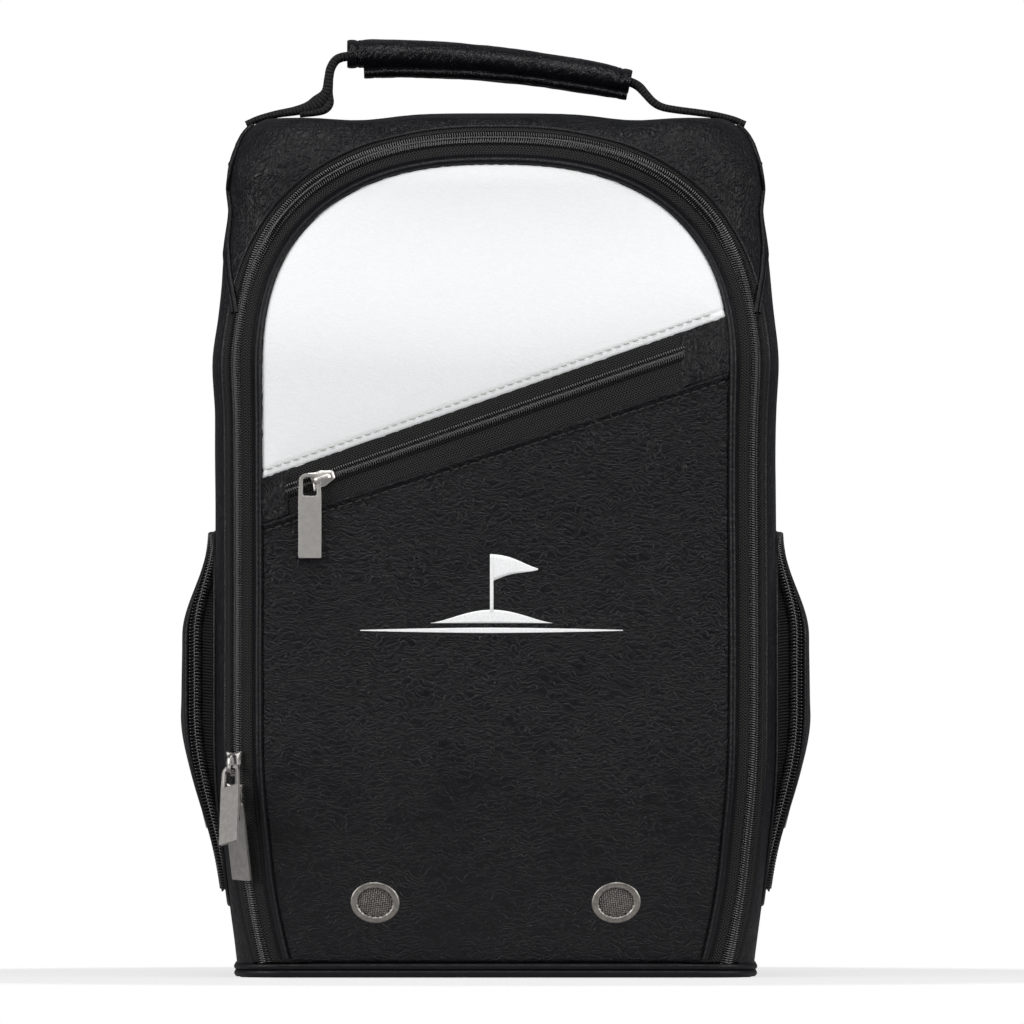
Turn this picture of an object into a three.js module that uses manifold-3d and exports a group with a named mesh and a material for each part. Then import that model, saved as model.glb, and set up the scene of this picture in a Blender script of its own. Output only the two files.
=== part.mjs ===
// A golf shoe bag: a tapered upright case whose whole front unzips and folds down on its bottom edge.
// Units are millimetres, +Z is up, -Y is the front. The origin is the middle of the base, on the floor.
import * as THREE from "three";
import { mergeVertices } from "three/addons/utils/BufferGeometryUtils.js";
import Module from "manifold-3d";

const wasm = await Module();
wasm.setup();

// ---- Shell: driving dimensions ----
const HEIGHT = 370; // floor to the crown of the top panel
const HALF_WIDTH = 119.5; // at the straight middle
const FRONT = 75; // origin to the front, at the straight middle
const BACK = 72; // origin to the back, at the straight middle
const SIDE_TAPER = 9.5; // how far each side comes in at the floor
const FRONT_TAPER = 21;
const BACK_TAPER = 8;
const SIDE_LEAN = 5; // how far each side comes in where the top corners start to round
const FRONT_LEAN = 11;
const BACK_LEAN = 5;
const BASE_HALF = HALF_WIDTH - SIDE_TAPER;
const BASE_FRONT = FRONT - FRONT_TAPER;
const BASE_BACK = BACK - BACK_TAPER;
const SHOULDER_HALF = HALF_WIDTH - SIDE_LEAN;
const TOP_FRONT = FRONT - FRONT_LEAN;
const TOP_BACK = BACK - BACK_LEAN;
const FRONT_CORNER = 22; // radius of the upright front edges
const BACK_CORNER = 16;
const KNEE = 85; // below this height the shell tapers to its base
const SPRING = HEIGHT - 110; // above this height the shell leans in and the zip turns into its arch
const SHOULDER = HEIGHT - 32;
const TOP_RISE = 29.5; // height of the rounded top edge
const CORNER_DROP = 19.6; // how far the rounding takes in the sides
const EDGE_DROP = 12; // how far it takes in the front and back
const CORNER_STEPS = 5;

const FAR = 2 * HALF_WIDTH; // reach of the boxes that only cut
const NEAR = 10; // just right of the middle, where a box that cuts one side starts

// ---- Layers, as depths below the outer surface ----
const GAP = 0.3; // left between pieces that touch
const LEATHER = 1.5;
const TAPE = 0.8;
const BOARD = 2;
const LINING = 0.8;
const COIL_PROUD = 0.3;
const PIPING_PROUD = 1.3;
const TAPE_DEPTH = LEATHER + GAP;
const BOARD_DEPTH = TAPE_DEPTH + TAPE + GAP;
const LINING_DEPTH = BOARD_DEPTH + BOARD + GAP;
const WALL = LINING_DEPTH + LINING;

// ---- Main zip, round the front ----
const CHAIN_INSET = 8.5; // side of the bag to the chain
const CHAIN_HALF = HALF_WIDTH - CHAIN_INSET; // half the distance between the two upright runs
const CHAIN_FOOT = CHAIN_HALF - 9; // the same at the base
const ARCH_RISE = 99; // from the spring to the middle of the arch
const ARCH_POWER = 2.4; // 2 is an ellipse, more is squarer
const ARCH_STEPS = 11;
const CHANNEL = 0.8; // half the slot that a slider's post runs in
const COIL_EDGE = 2.9; // half the width of the closed coil
const TAPE_SHOWN = 7; // chain to the flap's piping
const OUTER_TAPE_SHOWN = 4.5; // chain to the fixed leather
const TAPE_UNDER = 4; // tape sewn in under a leather edge
const PIPING = 4.4;

// ---- Base ----
const BINDING_HEIGHT = 6;
const BINDING_PROUD = 1.8;
const BASE_PLATE = 2;
const PANEL_FOOT = BASE_PLATE + GAP; // bottom edge of the side and back panels
const FLAP_FOOT = BINDING_HEIGHT + 0.5;
const PIPING_FOOT = FLAP_FOOT + 2; // clears the binding when the flap folds down

// ---- Front flap: slanted pocket zip, vents ----
const SLANT = Math.atan(0.3495); // the pocket zip climbs to the right
const SLANT_HEIGHT = SPRING - 12; // the white panel's lower edge, at the middle of the bag
const POCKET_CHAIN = 8.3; // white edge to the pocket's chain
const MOUTH_LEFT = 17.8; // white edge to the black panel's edge, at the left end
const MOUTH_RIGHT = 22.6;
const TAB_LEFT = [10 - CHAIN_HALF, 23 - CHAIN_HALF]; // end tabs of the pocket zip, across the bag
const TAB_RIGHT = [CHAIN_HALF - 32, CHAIN_HALF - 11];
const POUCH_DROP = 150; // depth of the pocket's pouch below its zip
const VENT_X = CHAIN_HALF - 59.5;
const VENT_Z = 32.5;
const VENT_FLANGE = 10.5;
const VENT_BARREL = 8;
const VENT_WALL = 0.6;

// ---- Side pockets ----
const POCKET_FOOT = 31;
const POCKET_TOP = 190;
const POCKET_HALF = 46; // half the pocket's size from front to back
const POCKET_Y = 0;
const POCKET_POWER = 3.2;
const POCKET_FULL = [96, 142]; // between these heights the gusset has its full width
const GUSSET = 8.9; // the gusset's full width, side panel to chain
const GUSSET_END = 1.4; // its width at the top and bottom of the pocket
const COVER_OVER = 3; // chain to the inside of the cover's face
const COVER_MOUTH = 5.5; // the cover's hinge line above the pocket's foot

// ---- Handle ----
const STRAP = 2.5;
const STRAP_WIDTH = 25;
const STRAP_FOLDED = 16; // its width where it is folded inside the grip
const ROOT_LEFT = 43.5 - SHOULDER_HALF;
const ROOT_RIGHT = SHOULDER_HALF - 44.5;
const ANCHOR_END = SHOULDER_HALF - 11.5; // outer ends of the sewn straps
const HANDLE_PIVOT = HEIGHT + 1.6;
const STRAP_TAPER = 13; // height over which the strap widens from its pivot
const GRIP_LEFT = [ROOT_LEFT + 7, HEIGHT + 22.8];
const GRIP_RIGHT = [ROOT_RIGHT - 12.5, HEIGHT + 14];
const GRIP_BOW = 1.6;
const GRIP_DEPTH = 24;
const GRIP_HEIGHT = 15;

// ---- Sliders and pulls ----
const SLIDER_LENGTH = 11;
const SLIDER_WIDTH = 8.6;
const SLIDER_PLATE = 1.1;
const SLIDER_UNDER = 0.7; // further space between the tape and the back plate
const BRIDGE_WIDTH = 2.2;
const BRIDGE_SPAN = 8; // along the slider
const BRIDGE_RISE = 3.5; // outer height of the bridge above the plate
const BRIDGE_BAR = 0.9;
const POST = 0.45; // half the post's thickness
const PULL_LENGTH = 36;
const PULL_WIDTH = 9.8;
const PULL_NECK = 8.6; // width at its loop
const PULL_THICK = 1.4;
const PULL_WINDOW = 6; // width of the loop's opening
const PULL_WINDOW_RISE = 8;
const PULL_BAR = 1.5;
const SLIDER_APART = 13.4; // between the two main sliders, which meet at the knee
const POCKET_SLIDER_X = TAB_LEFT[1] + 14;
const SIDE_SLIDER_Z = POCKET_FULL[0] + 4;
const UPPER_PULL_TILT = THREE.MathUtils.degToRad(14); // sideways
const UPPER_PULL_LIFT = THREE.MathUtils.degToRad(20); // it rests on the slider below it

// ---- Solids ----
const material = (color, roughness, metalness = 0) =>
  new THREE.MeshStandardMaterial({ color, roughness, metalness });
const BLACK_LEATHER = () => material(0x1e1e22, 0.45);
const WHITE_LEATHER = () => material(0xf0f2f4, 0.5);
const TAPE_CLOTH = () => material(0x1a1b1a, 0.85);
const COIL_PLASTIC = () => material(0x101010, 0.4);
const LINING_CLOTH = () => material(0x2a2a2c, 0.9);
const STIFFENER = () => material(0x3a3a3c, 0.8);
const NICKEL = () => material(0xbeb9b2, 0.35, 1);
const DARK_NICKEL = () => material(0x827d76, 0.4, 1);
const WEBBING = () => material(0x141415, 0.8);

const bag = new THREE.Group();

/** A closed solid with the shape of a three.js geometry. */
function solid(geometry) {
  geometry.deleteAttribute("normal");
  geometry.deleteAttribute("uv");
  const merged = mergeVertices(geometry, 1e-4);
  return new wasm.Manifold(
    new wasm.Mesh({
      numProp: 3,
      vertProperties: new Float32Array(merged.attributes.position.array),
      triVerts: new Uint32Array(merged.index.array),
    }),
  );
}

/** Adds a solid to the bag as a named mesh. */
function add(name, body, finish) {
  const made = body.getMesh();
  const geometry = new THREE.BufferGeometry();
  geometry.setAttribute("position", new THREE.BufferAttribute(made.vertProperties, 3));
  geometry.setIndex(new THREE.BufferAttribute(made.triVerts, 1));
  geometry.computeVertexNormals();
  const mesh = new THREE.Mesh(geometry, finish);
  mesh.name = name;
  bag.add(mesh);
}

const mix = (a, b, t) => a + (b - a) * t;
const clamp01 = (t) => Math.min(1, Math.max(0, t));
const smooth = (t) => clamp01(t) ** 2 * (3 - 2 * clamp01(t));

/** A box between two corners. */
function box(low, high) {
  const size = high.map((v, i) => v - low[i]);
  const geometry = new THREE.BoxGeometry(...size);
  return solid(geometry.translate(...low.map((v, i) => v + size[i] / 2)));
}

/** An outline of [x, z] points, drawn out from y = from to y = to. */
function slabAlongY(points, from, to) {
  const shape = new THREE.Shape(points.map(([x, z]) => new THREE.Vector2(x, z)));
  const geometry = new THREE.ExtrudeGeometry(shape, { depth: to - from, bevelEnabled: false });
  return solid(geometry.rotateX(Math.PI / 2).translate(0, to, 0));
}

/** An outline of [y, z] points, drawn out from x = from to x = to. */
function slabAlongX(points, from, to) {
  const shape = new THREE.Shape(points.map(([y, z]) => new THREE.Vector2(y, z)));
  const geometry = new THREE.ExtrudeGeometry(shape, { depth: to - from, bevelEnabled: false });
  const basis = new THREE.Matrix4().makeBasis(
    new THREE.Vector3(0, 1, 0),
    new THREE.Vector3(0, 0, 1),
    new THREE.Vector3(1, 0, 0),
  );
  return solid(geometry.applyMatrix4(basis).translate(from, 0, 0));
}

/** The same solid on the other side of the bag. */
function mirrored(body) {
  return body.mirror([1, 0, 0]);
}

// ---- Shell sections ----
/** The shell's plan at height z, below the shoulder. */
function section(z) {
  const foot = clamp01(z / KNEE);
  const lean = smooth((z - SPRING) / (SHOULDER - SPRING));
  return {
    z,
    half: z < KNEE ? mix(BASE_HALF, HALF_WIDTH, foot) : mix(HALF_WIDTH, SHOULDER_HALF, lean),
    front: z < KNEE ? mix(BASE_FRONT, FRONT, foot) : mix(FRONT, TOP_FRONT, lean),
    back: z < KNEE ? mix(BASE_BACK, BACK, foot) : mix(BACK, TOP_BACK, lean),
    tilt: 0,
  };
}

/** The plan on the rounded top edge, tilt radians up its quarter turn. */
function edgeSection(tilt) {
  const take = 1 - Math.cos(tilt);
  return {
    z: SHOULDER + TOP_RISE * Math.sin(tilt),
    half: SHOULDER_HALF - CORNER_DROP * take,
    front: TOP_FRONT - EDGE_DROP * take,
    back: TOP_BACK - EDGE_DROP * take,
    tilt,
  };
}

/** The plan on the low crown of the top panel, share 0 at its edge and 1 at its top. */
function crownSection(share) {
  const rim = edgeSection(Math.PI / 2);
  return {
    z: mix(rim.z, HEIGHT, smooth(share * 0.9 + 0.1)),
    half: rim.half * (1 - 0.7 * share),
    front: rim.front * (1 - 0.8 * share),
    back: rim.back * (1 - 0.8 * share),
    tilt: Math.PI / 2,
  };
}

/** One ring of points round a plan, a depth below the outer surface. */
function ring(plan, depth) {
  const inwards = depth * Math.cos(plan.tilt);
  const half = plan.half - inwards;
  const front = plan.front - inwards;
  const back = plan.back - inwards;
  const room = Math.min(half, (front + back) / 2) - 1;
  const frontRadius = Math.min(Math.max(FRONT_CORNER - depth, 1), room);
  const backRadius = Math.min(Math.max(BACK_CORNER - depth, 1), room);
  const corners = [
    [half - frontRadius, frontRadius - front, frontRadius, -90],
    [half - backRadius, back - backRadius, backRadius, 0],
    [backRadius - half, back - backRadius, backRadius, 90],
    [frontRadius - half, frontRadius - front, frontRadius, 180],
  ];
  const z = plan.z - depth * Math.sin(plan.tilt);
  return corners.flatMap(([x, y, radius, start]) =>
    Array.from({ length: CORNER_STEPS + 1 }, (_, i) => {
      const angle = THREE.MathUtils.degToRad(start + (90 * i) / CORNER_STEPS);
      return [x + radius * Math.cos(angle), y + radius * Math.sin(angle), z];
    }),
  );
}

/** The solid inside the shell's surface moved in by a depth, from a foot height up. */
function shellSolid(depth, foot = 0) {
  const heights = [foot, KNEE, SPRING];
  for (let i = 1; i <= 4; i++) heights.push(mix(SPRING, SHOULDER, i / 4));
  const plans = heights.map(section);
  for (const degrees of [18, 36, 54, 72, 90]) {
    plans.push(edgeSection(THREE.MathUtils.degToRad(degrees)));
  }
  plans.push(crownSection(0.45), crownSection(1));
  const rings = plans.map((plan) => ring(plan, depth));
  return loft(rings);
}

/** A closed solid through rings of equal point counts, listed from the bottom up. */
function loft(rings) {
  const count = rings[0].length;
  const positions = rings.flat(2);
  const centre = (points) => [0, 1, 2].map((k) => points.reduce((sum, p) => sum + p[k], 0) / count);
  positions.push(...centre(rings[0]), ...centre(rings.at(-1)));
  const bottom = rings.length * count;
  const index = [];
  for (let i = 0; i < count; i++) {
    const next = (i + 1) % count;
    for (let r = 0; r + 1 < rings.length; r++) {
      const [a, b] = [r * count + i, r * count + next];
      index.push(a, b, b + count, a, b + count, a + count);
    }
    const top = (rings.length - 1) * count;
    index.push(bottom, next, i, bottom + 1, top + i, top + next);
  }
  const geometry = new THREE.BufferGeometry();
  geometry.setAttribute("position", new THREE.BufferAttribute(new Float32Array(positions), 3));
  geometry.setIndex(index);
  return solid(geometry);
}

/** A layer of the shell between two depths, from a foot height up. */
function layer(outer, inner, foot) {
  return shellSolid(outer, foot).subtract(shellSolid(inner, foot - 1));
}

// ---- Main zip line ----
/** The chain's line on the right, as [x, z] points from below the base up to the middle of the arch. */
function chainLine() {
  const below = -40;
  const points = [[mix(CHAIN_FOOT, CHAIN_HALF, below / KNEE), below], [CHAIN_HALF, KNEE]];
  for (let i = 0; i <= ARCH_STEPS; i++) {
    const angle = (Math.PI / 2) * (i / ARCH_STEPS);
    points.push([
      CHAIN_HALF * Math.cos(angle) ** (2 / ARCH_POWER),
      SPRING + ARCH_RISE * Math.sin(angle) ** (2 / ARCH_POWER),
    ]);
  }
  points.at(-1)[0] = 0;
  return points;
}

/** Points moved sideways along their own line, to the right of its direction. */
function moved(points, distance) {
  return points.map((point, i) => {
    const before = points[Math.max(i - 1, 0)];
    const after = points[Math.min(i + 1, points.length - 1)];
    const [dx, dz] = [after[0] - before[0], after[1] - before[1]];
    const size = Math.hypot(dx, dz);
    return [point[0] + (distance * dz) / size, point[1] - (distance * dx) / size];
  });
}

/** Everything in front that lies inside the chain's line moved outwards by a distance. */
function withinZip(distance) {
  const right = moved(chainLine(), distance);
  right.at(-1)[0] = 0;
  const left = right.slice(0, -1).map(([x, z]) => [-x, z]);
  return slabAlongY([...right, ...left.reverse()], -2 * FRONT, 0).intersect(frontHalf);
}

/** Everything in front of the lines where the upright front corners end. */
const frontHalf = (() => {
  const heights = [-0.5 * KNEE, KNEE, SPRING, mix(SPRING, SHOULDER, 0.5), SHOULDER, 2 * HEIGHT];
  const cornerEnd = (z) => {
    const foot = Math.min(z / KNEE, 1);
    const front = z < KNEE ? mix(BASE_FRONT, FRONT, foot) : section(Math.min(z, SHOULDER)).front;
    return [FRONT_CORNER - front, z];
  };
  const line = heights.map(cornerEnd);
  return slabAlongX([...line, [-FAR, 2 * HEIGHT], [-FAR, -0.5 * KNEE]], -FAR, FAR);
})();

/** A U-shaped strip that follows the main zip, between two distances from the chain. */
function zipStrip(skin, inner, outer) {
  return skin.intersect(withinZip(outer)).subtract(withinZip(inner));
}

// ---- Fixed shell ----
const leather = layer(0, LEATHER, PANEL_FOOT);
const sideSeamHeight = SHOULDER + 10; // side panel to top panel
const backSeam = BACK - BACK_CORNER - 4; // side panels to back panel
const cornerFoot = SPRING + 24; // lowest point of the top panel's front corners

/** The top panel's front corners: the outline between its two upright piped seams. */
function frontCorners(extra) {
  const right = [
    [CHAIN_HALF + 2.4 + extra, cornerFoot - extra],
    [CHAIN_HALF + 2.6 + extra, cornerFoot + 26],
    [CHAIN_HALF + 1.2 + extra, sideSeamHeight - 8],
    [CHAIN_HALF - 0.4 + extra, sideSeamHeight + 2],
  ];
  const left = right.map(([x, z]) => [-x, z]).reverse();
  return slabAlongY([...right, ...left], -2 * FRONT, -TOP_FRONT + FRONT_CORNER * 0.7);
}

function addShell() {
  const opening = withinZip(OUTER_TAPE_SHOWN);
  const top = box([-FAR, -FAR, sideSeamHeight], [FAR, FAR, HEIGHT + 50]);
  const topGap = box([-FAR, -FAR, sideSeamHeight - GAP], [FAR, FAR, HEIGHT + 50]);
  add("top_panel", leather.intersect(top.add(frontCorners(0))).subtract(opening), BLACK_LEATHER());
  const pipedSeam = PIPING * 0.55;
  const sides = leather.subtract(topGap).subtract(frontCorners(pipedSeam + GAP)).subtract(opening);
  const right = sides.intersect(box([NEAR, -FAR, 0], [FAR, backSeam, HEIGHT]));
  add("side_panel_right", right, BLACK_LEATHER());
  add("side_panel_left", mirrored(right), BLACK_LEATHER());
  const back = leather.subtract(topGap).intersect(box([-FAR, backSeam + GAP, 0], [FAR, FAR, HEIGHT]));
  add("back_panel", back, BLACK_LEATHER());

  const piping = layer(-PIPING_PROUD, LEATHER, PANEL_FOOT)
    .intersect(frontCorners(pipedSeam))
    .subtract(frontCorners(GAP))
    .subtract(withinZip(OUTER_TAPE_SHOWN + GAP))
    .subtract(topGap);
  add("seam_piping_right", piping.intersect(box([NEAR, -FAR, 0], [FAR, 0, HEIGHT])), BLACK_LEATHER());
  add("seam_piping_left", piping.intersect(box([-FAR, -FAR, 0], [-NEAR, 0, HEIGHT])), BLACK_LEATHER());
}

function addBase() {
  const plate = shellSolid(LEATHER * 0.5).intersect(box([-FAR, -FAR, 0], [FAR, FAR, BASE_PLATE]));
  const sill = layer(0, LEATHER, 0.01).intersect(
    box([-CHAIN_FOOT + FRONT_CORNER, -FAR, 0], [CHAIN_FOOT - FRONT_CORNER, 0, BINDING_HEIGHT + 0.2]),
  );
  add("base_panel", plate.add(sill), BLACK_LEATHER());
  const binding = layer(-BINDING_PROUD, -GAP, GAP).intersect(
    box([-FAR, -FAR, 0], [FAR, FAR, BINDING_HEIGHT]),
  );
  add("base_binding", binding, BLACK_LEATHER());
}

function addStiffeners() {
  const inside = layer(BOARD_DEPTH, BOARD_DEPTH + BOARD, PANEL_FOOT);
  const margin = 12;
  const foot = 2 * PANEL_FOOT + BOARD;
  const backHalf = HALF_WIDTH - BACK_CORNER - margin;
  const back = inside.intersect(box([-backHalf, 0, foot], [backHalf, FAR, SHOULDER]));
  add("back_board", back, STIFFENER());
  const base = shellSolid(BOARD_DEPTH + margin / 2, 0).intersect(
    box([-FAR, -FAR, PANEL_FOOT], [FAR, FAR, PANEL_FOOT + BOARD]),
  );
  add("base_board", base, STIFFENER());
  const foamFront = 2 * BACK_CORNER - FRONT;
  const foamBack = BASE_BACK - BACK_CORNER - 1;
  const right = inside.intersect(box([NEAR, foamFront, foot], [FAR, foamBack, SHOULDER]));
  add("side_foam_right", right, STIFFENER());
  add("side_foam_left", mirrored(right), STIFFENER());
}

function addLining() {
  const floor = PANEL_FOOT + BOARD + GAP;
  const outer = shellSolid(LINING_DEPTH, floor);
  const inner = shellSolid(WALL, floor + LINING);
  add("main_lining", outer.subtract(inner).subtract(withinZip(CHANNEL + GAP)), LINING_CLOTH());
}

function addMainZip() {
  const coil = layer(-COIL_PROUD, LEATHER, FLAP_FOOT);
  const tape = layer(TAPE_DEPTH, TAPE_DEPTH + TAPE, FLAP_FOOT);
  add("main_zip_tape_outer", zipStrip(tape, CHANNEL, OUTER_TAPE_SHOWN + TAPE_UNDER), TAPE_CLOTH());
  add("main_zip_coil_outer", zipStrip(coil, CHANNEL, COIL_EDGE), COIL_PLASTIC());
  const flapEdge = -TAPE_SHOWN - PIPING - TAPE_UNDER;
  add("main_zip_tape_flap", zipStrip(tape, flapEdge, -CHANNEL), TAPE_CLOTH());
  add("main_zip_coil_flap", zipStrip(coil, -COIL_EDGE, -CHANNEL), COIL_PLASTIC());
}

// ---- Front flap ----
const flapSkin = layer(0, LEATHER, FLAP_FOOT);
const flapField = withinZip(-TAPE_SHOWN - PIPING - GAP);
const slantUp = Math.tan(SLANT);

/** Height of the white panel's lower edge at x, moved down square to itself by a distance. */
const slantZ = (x, down) => SLANT_HEIGHT + slantUp * x - down / Math.cos(SLANT);

/** The band of the flap between two slanted lines; each is [drop at the left end, drop at the right end]. */
function slantBand(upper, lower, from = -FAR, to = FAR) {
  const [leftEnd, rightEnd] = [TAB_LEFT[0], TAB_RIGHT[1]];
  const drop = ([left, right], x) => mix(left, right, (x - leftEnd) / (rightEnd - leftEnd));
  const at = (x, line) => [x, slantZ(x, drop(line, x))];
  return slabAlongY([at(from, lower), at(to, lower), at(to, upper), at(from, upper)], -2 * FRONT, 0);
}
const level = (drop) => [drop, drop];
const mouthLine = (extra) => [MOUTH_LEFT + extra, MOUTH_RIGHT + extra];

/** Moves a solid turned about +Z to one vent, its +Z pointing out of the sloping foot of the flap. */
function ventPlaced(body, side) {
  const lean = Math.atan((FRONT - BASE_FRONT) / KNEE);
  const y = -section(VENT_Z).front;
  return body.rotate([90 + THREE.MathUtils.radToDeg(lean), 0, 0]).translate([side * VENT_X, y, VENT_Z]);
}

/** A solid turned about +Z from [radius, height] points. */
function turned(points) {
  const profile = points.map(([r, h]) => new THREE.Vector2(r, h));
  return solid(new THREE.LatheGeometry(profile, 28).rotateX(Math.PI / 2));
}

function addVents() {
  const lip = 0.9;
  const inside = WALL + 1.2;
  const barrel = VENT_BARREL - VENT_WALL;
  const ringProfile = [
    [barrel, -inside],
    [VENT_BARREL, -inside],
    [VENT_BARREL, GAP],
    [VENT_FLANGE, GAP],
    [VENT_FLANGE, GAP + lip * 0.5],
    [VENT_FLANGE - 1, GAP + lip],
    [VENT_BARREL - 0.2, GAP + lip],
    [barrel, GAP],
    [barrel, -inside],
  ];
  const washerProfile = [
    [VENT_BARREL + GAP, -inside],
    [VENT_FLANGE, -inside],
    [VENT_FLANGE, -WALL - GAP],
    [VENT_BARREL + GAP, -WALL - GAP],
    [VENT_BARREL + GAP, -inside],
  ];
  const meshProfile = [[0, -0.9], [barrel - GAP, -0.9], [barrel - GAP, -0.3], [0, 0]];
  for (const [side, name] of [[-1, "left"], [1, "right"]]) {
    add("vent_ring_" + name, ventPlaced(turned(ringProfile), side), DARK_NICKEL());
    add("vent_washer_" + name, ventPlaced(turned(washerProfile), side), DARK_NICKEL());
    add("vent_mesh_" + name, ventPlaced(turned(meshProfile), side), DARK_NICKEL());
  }
}

/** The two holes through the flap that the vents stand in. */
function ventHoles() {
  const r = VENT_BARREL + GAP;
  const bore = () => turned([[0, -3 * WALL], [r, -3 * WALL], [r, WALL], [0, WALL]]);
  return ventPlaced(bore(), -1).add(ventPlaced(bore(), 1));
}

function addFlap() {
  const holes = ventHoles();
  const above = slantBand([-400, -400], level(0));
  const below = slantBand(mouthLine(0), [400, 400]);
  add("white_panel", flapSkin.intersect(flapField).intersect(above), WHITE_LEATHER());
  add("black_panel", flapSkin.intersect(flapField).intersect(below).subtract(holes), BLACK_LEATHER());
  const pipingSkin = layer(-PIPING_PROUD, LEATHER, PIPING_FOOT);
  add("flap_piping", zipStrip(pipingSkin, -TAPE_SHOWN - PIPING, -TAPE_SHOWN), BLACK_LEATHER());
  const inner = withinZip(-TAPE_SHOWN - TAPE_UNDER);
  const pouchRoom = TAPE + GAP;
  const board = layer(BOARD_DEPTH + pouchRoom, LINING_DEPTH, FLAP_FOOT);
  const reach = SLIDER_WIDTH / 2 + 1;
  const [slotTop, slotFoot] = [level(POCKET_CHAIN - reach), level(POCKET_CHAIN + reach)];
  const slot = slantBand(slotTop, slotFoot, TAB_LEFT[1], TAB_RIGHT[0]);
  add("flap_board", board.intersect(inner).subtract(holes).subtract(slot), STIFFENER());
  const cloth = layer(LINING_DEPTH + GAP, WALL, FLAP_FOOT);
  add("flap_lining", cloth.intersect(inner).subtract(holes), LINING_CLOTH());
}

function addFrontPocket() {
  const band = slantBand(level(GAP), mouthLine(-GAP));
  const tabs = flapSkin.intersect(flapField).intersect(band);
  const leftEnd = box([-FAR, -FAR, 0], [TAB_LEFT[1], 0, 2 * HEIGHT]);
  const rightEnd = box([TAB_RIGHT[0], -FAR, 0], [FAR, 0, 2 * HEIGHT]);
  add("pocket_end_tab_left", tabs.intersect(leftEnd), BLACK_LEATHER());
  add("pocket_end_tab_right", tabs.intersect(rightEnd), BLACK_LEATHER());

  const tape = layer(TAPE_DEPTH, TAPE_DEPTH + TAPE, FLAP_FOOT).intersect(
    withinZip(-TAPE_SHOWN - PIPING - TAPE_UNDER - GAP),
  );
  const upper = slantBand(level(-TAPE_UNDER), level(POCKET_CHAIN - CHANNEL));
  const lower = slantBand(level(POCKET_CHAIN + CHANNEL), mouthLine(TAPE_UNDER));
  add("pocket_zip_tape_upper", tape.intersect(upper), TAPE_CLOTH());
  add("pocket_zip_tape_lower", tape.intersect(lower), TAPE_CLOTH());

  const coil = layer(-COIL_PROUD, LEATHER, FLAP_FOOT);
  const [from, to] = [TAB_LEFT[1] + GAP, TAB_RIGHT[0] - GAP];
  const coilBand = (top, foot) => slantBand(level(POCKET_CHAIN + top), level(POCKET_CHAIN + foot), from, to);
  add("pocket_zip_coil_upper", coil.intersect(coilBand(-COIL_EDGE, -CHANNEL)), COIL_PLASTIC());
  add("pocket_zip_coil_lower", coil.intersect(coilBand(CHANNEL, COIL_EDGE)), COIL_PLASTIC());

  const sliderRoom = POCKET_CHAIN + SLIDER_WIDTH / 2 + 1;
  const pouch = layer(BOARD_DEPTH, BOARD_DEPTH + TAPE, FLAP_FOOT)
    .intersect(withinZip(-TAPE_SHOWN - PIPING - TAPE_UNDER - 2))
    .intersect(slantBand(level(sliderRoom), level(sliderRoom + POUCH_DROP)))
    .subtract(ventHoles());
  add("pocket_pouch", pouch, LINING_CLOTH());
}

// ---- Side pockets ----
/** The pocket's outline from the side, as [y, z] points, grown by a distance. */
function pocketOutline(grow) {
  const middle = (POCKET_FOOT + POCKET_TOP) / 2;
  const [a, b] = [POCKET_HALF + grow, (POCKET_TOP - POCKET_FOOT) / 2 + grow];
  const steps = 36;
  return Array.from({ length: steps }, (_, i) => {
    const angle = (2 * Math.PI * i) / steps;
    const power = (v) => Math.sign(v) * Math.abs(v) ** (2 / POCKET_POWER);
    return [POCKET_Y + a * power(Math.cos(angle)), middle + b * power(Math.sin(angle))];
  });
}

/** How far the chain stands out from the side panel at height z. */
function gussetWidth(z) {
  const rise = smooth((z - POCKET_FOOT) / (POCKET_FULL[0] - POCKET_FOOT));
  const fall = smooth((POCKET_TOP - z) / (POCKET_TOP - POCKET_FULL[1]));
  return mix(GUSSET_END, GUSSET, Math.min(rise, fall));
}

/** Everything on the right whose distance from the chain's surface is below a value, inwards of it. */
function withinChain(distance) {
  const heights = [POCKET_FOOT - 10];
  for (let i = 0; i <= 5; i++) heights.push(mix(POCKET_FOOT, POCKET_FULL[0], i / 5));
  for (let i = 0; i <= 5; i++) heights.push(mix(POCKET_FULL[1], POCKET_TOP, i / 5));
  heights.push(POCKET_TOP + 10);
  const outer = heights.map((z) => [section(z).half + gussetWidth(z) + distance, z]);
  return slabAlongY([[0, heights[0]], ...outer, [0, heights.at(-1)]], -FRONT, BACK);
}

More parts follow.
